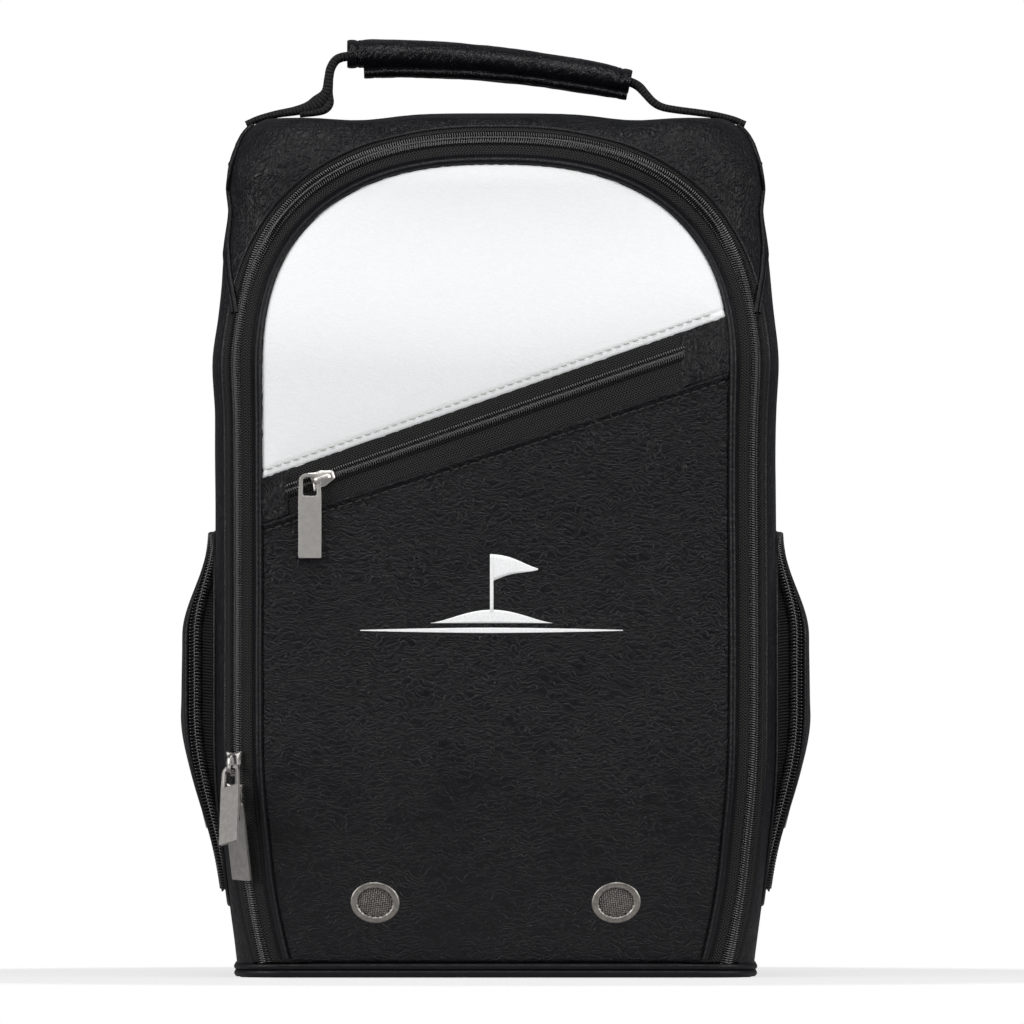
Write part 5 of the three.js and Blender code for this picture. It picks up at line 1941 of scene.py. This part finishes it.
@dataclass
class Handle:
    """The carrying handle: two straps sewn to the top, and a padded leather grip rolled round them."""

    finishes: Finishes
    strap: float = 2.8
    wide: float = 25.0
    folded: float = 15.0

    LEFT = ((-107.0, 365.2), (-101.5, 367.6), (-94, 369.6), (-86, 371.0), (-79.5, 372.8), (-75.4, 375.6),
            (-72.6, 379.6), (-71.6, 385), (-70.6, 389.6), (-67.6, 393.4), (-61, 394.6), (-48, 394.8))
    RIGHT = ((107.0, 365.2), (101.5, 367.4), (94, 369.2), (86, 370.4), (78, 371.4), (71.6, 372.6),
             (67.6, 374.8), (64.4, 378.2), (61.2, 381.6), (57, 383.6), (50, 385.0), (40, 387.2))
    FOLD = ((-84, 369.6), (-77.0, 370.4), (-73.2, 371.8), (-71.9, 375), (-71.6, 381), (-71.4, 387))
    ROLL = ((-63.7, 395.4), (-40, 395.3), (-12, 393.6), (16, 390.6), (40, 387.0), (57.8, 383.4))
    UNDER = ((-56.5, 387.4), (-36, 388.0), (-10, 386.9), (16, 384.4), (38, 381.0), (56.4, 377.8))

    def curve(self, points: Sequence, pitch: float) -> Array:
        """Draws a smooth line through points.

        Args:
            points: The [x, z] points.
            pitch: The step.

        Returns:
            The smooth line.
        """
        p = np.array(points, float)
        padded = np.vstack([2 * p[0] - p[1], p, 2 * p[-1] - p[-2]])
        line = []
        for a, b, c, d in zip(padded, padded[1:], padded[2:], padded[3:]):
            for t in np.linspace(0, 1, 12, endpoint=False):
                bend = (2 * a - 5 * b + 4 * c - d) * t * t + (3 * b - a - 3 * c + d) * t**3
                line.append(0.5 * (2 * b + (c - a) * t + bend))
        line.append(p[-1])
        return resample(np.array(line), pitch)

    def band(
        self, name: str, points: Sequence, thick: float, ends: tuple[float, float], flare: float = 0.0
    ) -> Piece:
        """Returns one length of webbing along a line, with rounded edges and a UV map.

        Args:
            name: Its name.
            points: The line, as [x, z] points.
            thick: The webbing's thickness.
            ends: Its width at the first end and at the last one.
            flare: How much thicker it is where it is folded at the handle's root.

        Returns:
            The band.
        """
        line = self.curve(points, 1.1)
        way = unit(np.gradient(line, axis=0))
        up = left_of(way)
        share = smooth(np.linspace(0, 1, len(line)) * 1.6 - 0.35)
        half = mix(ends[0], ends[1], share) / 2
        across = np.array([-1, -0.985, -0.95, -0.8, -0.5, 0, 0.5, 0.8, 0.95, 0.985, 1])
        lift = np.sqrt(np.clip(1 - np.abs(across) ** 14, 0.05, 1)) / 2
        deep = thick + flare * np.exp(-(((line[:, 1] - 374.5) / 3.2) ** 2))
        deep = deep + 1.1 * smooth((line[:, 1] - 374) / 8)
        rings = []
        for side in (1, -1):
            order = slice(None) if side > 0 else slice(None, None, -1)
            for a, h in zip(across[order], lift[order]):
                flat = line + up * (side * h * deep)[:, None]
                rings.append(rows_of(flat[:, 0], a * half, flat[:, 1]))
        grid = np.stack(rings, axis=1)
        made = sweep(name, grid)
        uv = np.empty((len(line), len(rings), 2))
        uv[..., 0] = (np.arange(len(line)) * 1.1)[:, None]
        uv[..., 1] = grid[..., 1]
        add_uv(made, uv)
        shade(made, 50)
        return made

    def build(self) -> None:
        """Builds the handle's pieces."""
        f = self.finishes
        straps = [
            self.band("strap_left", self.LEFT, self.strap, (self.wide, self.folded), 3.4),
            self.band("strap_right", self.RIGHT, self.strap, (self.wide, self.folded), 0.6),
            self.band("strap_left_fold", self.FOLD, self.strap * 0.9, (self.wide - 1, self.folded - 1), 2.6),
        ]
        nodes = (["strap_anchor_left", "handle_strap"], ["strap_anchor_right"], [])
        for strap, names in zip(straps, nodes):
            place(strap, "", f.webbing, names)
            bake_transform(strap)
        self.build_grip()

    def roll(
        self, name: str, points: Sequence, heights: tuple[float, float], deep: float, seed: float
    ) -> Piece:
        """Makes a leather roll, wrinkled, with its ends turned in.

        Args:
            name: The roll's name.
            points: The line, as [x, z] points.
            heights: How tall it is at its two ends.
            deep: How wide it is from front to back.
            seed: Which wrinkles it gets.

        Returns:
            The roll.
        """
        line = self.curve(points, 0.9)
        way = unit(np.gradient(line, axis=0))
        up = left_of(way)
        run = np.arange(len(line)) * 0.9
        length = run[-1]
        t = turns(56)
        tall = mix(heights[0], heights[1], run / length) / 2
        end = np.minimum(run, length - run)
        shut = np.where(end < 1.0, 0.93 + 0.07 * end, 1.0)
        groove = 1 - 0.09 * np.exp(-(((end - 4.3) / 0.55) ** 2))
        groove = groove - 0.04 * np.exp(-(((end - 6.2) / 0.9) ** 2))
        swell = 1 + 0.03 * smooth((end - 5) / 14)
        power = 0.86
        cos, sin = (np.sign(v) * np.abs(v) ** power for v in (np.cos(t), np.sin(t)))
        scale = (shut * groove * swell)[:, None]
        y = scale * deep / 2 * cos[None]
        h = scale * tall[:, None] * sin[None]
        points3 = np.stack([line[:, :1] + up[:, :1] * h, y, line[:, 1:] + up[:, 1:] * h], axis=-1)
        flat = points3.reshape(-1, 3)
        stretched = flat * np.array([0.42, 1, 1])
        fold = 1 - np.abs(bumps(stretched, 4.6, seed)) * 2.2
        slow = bumps(stretched, 9.0, seed + 4)
        calm = smooth((np.repeat(end, 56) - 5.5) / 6)
        out = [up[:, :1] * sin[None], np.broadcast_to(cos[None], h.shape), up[:, 1:] * sin[None]]
        out = unit(np.stack(out, -1)).reshape(-1, 3)
        flat = flat + out * ((fold * 0.24 + slow * 0.45) * calm)[:, None]
        rings = flat.reshape(points3.shape)
        centre = np.stack([np.repeat(line[:, :1], 56, 1), 0 * y, np.repeat(line[:, 1:], 56, 1)], -1)
        lips = []
        for k, inward in ((0, 1), (-1, -1)):
            along = np.array([way[k, 0], 0, way[k, 1]]) * inward
            turned = ((0.9, 0.1), (0.82, 0.9), (0.8, 2.5))
            lips.append([mix(centre[k], rings[k], s) + along * d for s, d in turned])
        stack = lips[0][::-1] + list(rings) + lips[1]
        return sweep(name, np.stack(stack))

    def build_grip(self) -> None:
        """Builds the rolled grip and the edge folded under it."""
        f = self.finishes
        roll = self.roll("grip_roll", self.ROLL, (12.4, 10.6), 24.0, 1.5)
        place(roll, "handle", f.grip, ["handle_grip", "handle_filler"])
        under = self.roll("grip_edge", self.UNDER, (5.2, 4.6), 20.0, 7.5)
        place(under, "handle", f.grip)


# ---------------------------------------------------------------- sliders and pulls


def prism(name: str, outline: Array, low: float, high: float) -> Piece:
    """Returns an outline of [x, y] points drawn out along Z."""
    ring = lambda z: rows_of(outline, np.full(len(outline), z))
    return sweep(name, np.stack([ring(low), ring(high)]))


def rounded(corners: Sequence, radii: Sequence[float], steps: int = 5) -> Array:
    """Rounds an outline's corners.

    Args:
        corners: The sharp outline.
        radii: A radius for each corner.
        steps: How many points each corner gets.

    Returns:
        The rounded outline.
    """
    p = np.array(corners, float)
    line = []
    for k, r in enumerate(radii):
        here, before, after = p[k], unit(p[k - 1] - p[k]), unit(p[(k + 1) % len(p)] - p[k])
        half = math.acos(float(np.clip(before @ after, -1, 1))) / 2
        reach = r / math.tan(half)
        centre = here + unit(before + after) * (r / math.sin(half))
        a, b = here + before * reach - centre, here + after * reach - centre
        for t in np.linspace(0, 1, steps):
            line.append(centre + unit(mix(a, b, t)) * r)
    return np.array(line)


@dataclass
class SliderSet:
    """The five sliders and their pulls, all of one pattern."""

    shell: Shell
    finishes: Finishes
    length: float = 11.0
    width: float = 8.6
    plate: float = 1.1
    proud: float = 0.6
    rise: float = 3.5
    span: float = 8.0
    bar: float = 0.95
    bridge: float = 2.3
    under: float = -5.4
    pivot_up: float = 3.0
    pivot_down: float = 1.75
    pull_length: float = 36.0
    pull_width: float = 9.8
    pull_neck: float = 8.8
    pull_thick: float = 1.4
    window: float = 6.0
    window_rise: float = 8.0

    def slider(self, name: str, lean: float, back: float) -> Piece:
        """Returns a slider at the origin: it runs along +Y and faces +Z.

        Args:
            name: Its name.
            lean: How far the post moves towards +X for each millimetre outwards.
            back: How far the back plate reaches.

        Returns:
            The slider.
        """
        l, w = self.length / 2, self.width / 2
        top = self.proud + self.plate
        outline = rounded(
            [(-w * 0.4, -l), (w * 0.4, -l), (w * 0.82, -l * 0.05), (w * 0.8, l * 0.35), (w, l * 0.96),
             (0, l * 0.8), (-w, l * 0.96), (-w * 0.8, l * 0.35), (-w * 0.82, -l * 0.05)],
            [0.9, 0.9, 1.2, 1.0, 0.3, 1.0, 0.3, 1.0, 1.2],
            4,
        )
        rings = []
        edge = ((1.0, top - 0.35), (0.95, top - 0.1), (0.78, top + 0.12))
        for grow, z in ((0.9, self.proud - 0.5), (1.0, self.proud), *edge):
            rings.append(rows_of(outline * grow, np.full(len(outline), z)))
        body = sweep("plate", np.stack(rings))
        s, r = self.span / 2, self.rise
        path = [(-s + 0.2, top - 0.3), (-s + 0.1, top + 1.2), (-s + 0.5, top + r - 1.1),
                (-s + 1.6, top + r - 0.45), (0.0, top + r - 0.35), (s - 1.9, top + r - 0.6),
                (s - 0.7, top + r - 1.5), (s - 0.3, top + 0.8), (s - 0.4, top - 0.3)]
        line = resample(np.array(path, float), 0.35)
        way = unit(np.gradient(line, axis=0))
        up = left_of(way)
        t = turns(12)
        wide = self.bridge / 2 * np.sign(np.cos(t)) * np.abs(np.cos(t)) ** 0.7
        thick = self.bar / 2 * np.sign(np.sin(t)) * np.abs(np.sin(t)) ** 0.7
        y, z = (line[:, k : k + 1] + up[:, k : k + 1] * thick for k in (0, 1))
        bridge = sweep("bridge", np.stack([np.broadcast_to(wide, (len(line), 12)), y, z], -1))
        low = self.under + 0.8
        inner, end = lean * low - 0.45, l * 0.8
        corners = [(inner, -end), (back, -end), (back, end), (inner, end)]
        plate = prism("back_plate", rounded(corners, [0.6] * 4, 3), self.under, self.under + 1.0)
        foot = ((-0.42, -l * 0.5), (0.42, -l * 0.5), (0.42, l * 0.7), (-0.42, l * 0.7))
        ends = (self.under + 0.2, self.proud)
        post = sweep("post", np.array([[(lean * z + x, y, z) for x, y in foot] for z in ends]))
        made = join(name, [body, bridge, plate, post])
        soften_edges(made, 0.12, 2, 35)
        return made

    def pull(self, name: str) -> Piece:
        """Makes a pull that hangs from the origin along -Y, facing +Z.

        Args:
            name: Its name.

        Returns:
            The pull.
        """
        n, w, end = self.pull_neck / 2, self.pull_width / 2, -self.pull_length + 0.75
        corners = [(-n, 0.75), (-w, -9.0), (-w, end), (w, end), (w, -9.0), (n, 0.75)]
        outline = rounded(corners, [2.9, 6, 0.5, 0.5, 6, 2.9], 7)
        body = prism(name, outline[::-1], -self.pull_thick / 2, self.pull_thick / 2)
        half, low = self.window / 2, -0.75 - self.window_rise
        hole = rounded(
            [(-half, -0.75), (-half, low), (half, low), (half, -0.75)],
            [1.6, 0.9, 0.9, 1.6],
            6,
        )
        cut(body, prism("window", hole, -3, 3), "DIFFERENCE")
        soften_edges(body, 0.3, 3, 35)
        return body

    def put(self, obj: Piece, x: Array, y: Array, z: Array, at: Array) -> None:
        """Moves an object's mesh into a frame of three axes at a point.

        Args:
            obj: The object.
            x: Where its X axis goes.
            y: Where its Y axis goes.
            z: Where its Z axis goes.
            at: Where its origin goes.
        """
        set_points(obj, points_of(obj) @ np.stack([x, y, z]) + at)

    def pair(
        self,
        nodes: tuple[str, str],
        at: Array,
        out: Array,
        hang: Array,
        carry: Array,
        lean: float = 0.0,
        back: float | None = None,
        bar: Array | None = None,
        tilt: float = 0.0,
        lift: float = 0.0,
        finish: Finish | None = None,
    ) -> None:
        """Builds one slider and its pull.

        Args:
            nodes: The CAD nodes that they stand for, slider first.
            at: The slider's middle on the leather's surface.
            out: The way it faces.
            hang: The way its pull hangs.
            carry: The way to the half of the chain that it rides on.
            lean: How far its post moves that way for each millimetre outwards.
            back: How far its back plate reaches, if not half its width.
            bar: The middle of the pull's bar, if not at its usual place over the slider.
            tilt: How far the pull is turned on its face, in radians.
            lift: How far the pull stands off, in radians.
            finish: The metal, if not the usual one.
        """
        metal = finish or self.finishes.nickel
        slider = self.slider(nodes[0] + "_plated", lean, self.width / 2 if back is None else back)
        self.put(slider, carry, np.cross(out, carry), out, at)
        place(slider, nodes[0], metal, [nodes[0]])
        pull = self.pull(nodes[1] + "_plated")
        turn = Matrix.Rotation(tilt, 3, "Z") @ Matrix.Rotation(-lift, 3, "X")
        set_points(pull, points_of(pull) @ np.array(turn).T)
        if bar is None:
            bar = at + out * self.pivot_up + hang * self.pivot_down
        self.put(pull, -np.cross(out, hang), -hang, out, bar)
        place(pull, nodes[1], metal, [nodes[1]])

    def chain_point(self, zip_line: MainZip, z: float) -> Array:
        """Returns a point of the left chain on the outer surface."""
        x = mix(zip_line.chain_foot, zip_line.chain_half, min(z / self.shell.knee, 1.0))
        sharp = Shell(knee_round=1e-6)
        return np.array([-x, float(sharp.front_y(np.array(-x), np.array(z))), z])

    def build(self, zip_line: MainZip, flap: Flap, pocket: SidePocket) -> None:
        """Builds all the sliders and pulls.

        Args:
            zip_line: The long zip.
            flap: The front, with the slanted pocket.
            pocket: Either side pocket.
        """
        down = np.array([0.0, 0.0, -1.0])
        across = zip_line.chain_half - (self.shell.half - self.shell.front_corner)
        yaw = math.asin(across / self.shell.front_corner)
        out = np.array([-math.sin(yaw), -math.cos(yaw), 0.0])
        lean = math.tan(yaw)
        half_apart = 6.7
        upper = self.chain_point(zip_line, self.shell.knee + half_apart)
        # The main zip's sliders and pulls take the darker copy of the nickel: painted shade.
        self.pair(
            ("main_slider_upper", "main_pull_upper"), upper, out, down, np.cross(out, down),
            lean=lean, tilt=-math.radians(14), lift=math.radians(20), finish=self.finishes.dark_nickel,
        )
        lower = self.chain_point(zip_line, self.shell.knee - half_apart)
        slope = unit(self.chain_point(zip_line, 10) - self.chain_point(zip_line, self.shell.knee - 1))
        lower_out = unit(out - slope * (out @ slope))
        self.pair(
            ("main_slider_lower", "main_pull_lower"), lower, lower_out, slope, np.cross(lower_out, slope),
            lean=lean, finish=self.finishes.dark_nickel,
        )
        front = np.array([0.0, -1.0, 0.0])
        angle = math.atan(flap.slope)
        up = np.array([-math.sin(angle), 0.0, math.cos(angle)])
        x = flap.tab_left[1] + 14
        middle = float(flap.slant(x, flap.pocket_chain))
        at = np.array([x, -self.shell.front, middle])
        foot = (self.span - 0.9) / 2
        reach = 0.45 * math.cos(angle) + 1.1 * math.sin(angle)
        bar = np.array(
            [x - foot * math.cos(angle) + reach + 0.3 - self.window / 2, -self.shell.front - self.pivot_up,
             middle - foot * math.sin(angle) + 1.1 + 0.6 + 0.75]
        )
        self.pair(("pocket_slider", "pocket_pull"), at, front, down, up, bar=bar)
        behind = np.array([0.0, 1.0, 0.0])
        height = pocket.slider_height
        half, _, _ = self.shell.plan(np.array(height))
        for side, word in ((1, "right"), (-1, "left")):
            at = np.array([side * (float(half) + pocket.gusset), pocket.half - 0.3, height])
            carry = np.array([float(side), 0, 0])
            self.pair(
                ("side_slider_" + word, "side_pull_" + word), at, behind, down, carry, back=2.4,
                tilt=-side * math.radians(14),
            )


# ---------------------------------------------------------------- inside


@dataclass
class Inside:
    """The cloth lining of the case and flap, and the stiffeners between it and the leather."""

    shell: Shell
    case: Case
    finishes: Finishes
    depth: float = 5.2
    thick: float = 0.8
    floor: float = 4.6

    def crumple(self, obj: Piece) -> None:
        """Lets a lining wave a little, inwards only.

        Args:
            obj: The lining.
        """
        points = points_of(obj)
        middle = np.array([0.0, 0.0, 180.0])
        move = 0.55 * (1 + bumps(points, 22.0, 2.2)) + 0.4 * (1 + bumps(points, 9.0, 6.1))
        fixed = smooth((points[:, 2] - 8) / 12)
        set_points(obj, points + unit(middle - points) * (move * fixed)[:, None])
        shade(obj, 40)

    def build(self) -> None:
        """Builds the linings, and dresses the inner CAD pieces that stay."""
        f = self.finishes
        made = self.shell.solid("case_lining", self.depth, self.floor)
        hollow = self.shell.solid("hollow", self.depth + self.thick, self.floor + self.thick)
        cut(made, hollow, "DIFFERENCE")
        cut(made, self.case.zip_window("window", 1.2), "DIFFERENCE")
        self.crumple(made)
        place(made, "case", f.lining, ["main_lining"])
        flap = self.shell.layer("flap_lining_cloth", self.depth + 0.3, self.depth + self.thick, 6.7)
        cut(flap, self.case.zip_window("window", -5.5), "INTERSECT")
        self.crumple(flap)
        place(flap, "flap", f.lining, ["flap_lining"])
        kept = {
            f.foam: ("back_board", "base_board", "side_foam_left", "side_foam_right", "flap_board"),
            f.lining: ("pocket_pouch",),
            f.vent: ("vent_washer_left", "vent_washer_right"),
        }
        for finish, nodes in kept.items():
            for node in nodes:
                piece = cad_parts[node]
                piece.data.materials.clear()
                piece.data.materials.append(finish)


# ---------------------------------------------------------------- studio


@dataclass
class Studio:
    """A pale floor and backdrop, soft lights, and the camera square to the front."""

    lens: float = 1200.0
    camera: tuple[float, float, float] = (7.0, -14640.0, 199.0)

    def build(self) -> None:
        """Builds the studio."""
        self.build_floor()
        self.build_lights()
        data = bpy.data.cameras.new("camera")
        data.lens = self.lens
        data.sensor_width = 36.0
        data.clip_start, data.clip_end = 0.05, 60
        camera = bpy.data.objects.new("camera", data)
        camera.location = [v * MM for v in self.camera]
        camera.rotation_euler = (math.pi / 2, 0, 0)
        bpy.context.scene.collection.objects.link(camera)
        bpy.context.scene.camera = camera

    def build_floor(self) -> None:
        """Builds the floor and its plain finish."""
        bpy.ops.mesh.primitive_plane_add(size=14.0, location=(0, 0, 0))
        floor = bpy.context.active_object
        floor.name = "floor"
        n = Nodes("floor_paper")
        grain = n.add("TexNoise", Vector=n.object_mm(), Scale=0.02, Detail=2.0)
        rough = n.ramp(grain.outputs["Fac"], 0.3, 0.7, 0.8, 0.9)
        made = n.surface(Base_Color=(0.62, 0.62, 0.62, 1), Roughness=rough)
        far = n.add("VectorMath", {"operation": "LENGTH"}, i0=n.object_mm())
        share = n.ramp(far.outputs["Value"], 150.0, 340.0)
        seen = n.maths("MULTIPLY", n.add("LightPath").outputs["Is Camera Ray"], 0.72)
        share = n.maths("MAXIMUM", share, seen)
        clear = n.add("BsdfTransparent")
        both = n.add("MixShader", i0=share, i1=n.shader.outputs[0], i2=clear.outputs[0])
        n.set(n.tree.nodes["Material Output"].inputs["Surface"], both.outputs[0])
        floor.data.materials.append(made)

    def build_lights(self) -> None:
        """Builds the world's light and the soft boxes."""
        world = bpy.data.worlds.new("studio")
        world.use_nodes = True
        tree = world.node_tree
        lit = tree.nodes["Background"]
        lit.inputs["Color"].default_value = (0.97, 0.98, 1.0, 1)
        lit.inputs["Strength"].default_value = 0.12
        seen = tree.nodes.new("ShaderNodeBackground")
        seen.inputs["Color"].default_value = (1, 1, 1, 1)
        seen.inputs["Strength"].default_value = 1.0
        ray = tree.nodes.new("ShaderNodeLightPath")
        both = tree.nodes.new("ShaderNodeMixShader")
        tree.links.new(ray.outputs["Is Camera Ray"], both.inputs[0])
        tree.links.new(lit.outputs[0], both.inputs[1])
        tree.links.new(seen.outputs[0], both.inputs[2])
        tree.links.new(both.outputs[0], tree.nodes["World Output"].inputs["Surface"])
        bpy.context.scene.world = world
        bpy.context.scene.view_settings.view_transform = "Standard"
        for name, place_at, aim, size, power in (
            ("top_light", (0.0, -0.9, 2.3), (0, 0, 0.2), 1.3, 24.0),
            ("left_light", (-2.1, -1.25, 0.75), (0, 0, 0.2), 1.3, 37.5),
            ("right_light", (2.1, -1.25, 0.75), (0, 0, 0.2), 1.3, 34.0),
            ("front_light", (0.0, -3.2, 2.4), (0, 0, 0.2), 0.9, 23.0),
        ):
            data = bpy.data.lights.new(name, "AREA")
            data.size = size
            data.energy = power
            lamp = bpy.data.objects.new(name, data)
            lamp.location = place_at
            way = Vector(aim) - Vector(place_at)
            lamp.rotation_euler = way.to_track_quat("-Z", "Y").to_euler()
            data.color = (1.0, 0.992, 0.985)
            bpy.context.scene.collection.objects.link(lamp)


def main() -> None:
    """Builds the bag and the studio, in order."""
    logging.basicConfig(level=logging.INFO, format="%(name)s %(message)s")
    finishes = Finishes.made()
    shell = Shell()
    zip_line = MainZip(shell, finishes)
    Studio().build()
    zip_line.build()
    case = Case(shell, zip_line, finishes)
    case.build()
    flap = Flap(shell, zip_line, finishes)
    flap.build()
    for side in SIDES:
        Vent(flap, finishes, side).build()
        SidePocket(shell, finishes, side).build()
    Handle(finishes).build()
    SliderSet(shell, finishes).build(zip_line, flap, SidePocket(shell, finishes, 1))
    Inside(shell, case, finishes).build()


if __name__ == "__main__":
    main()
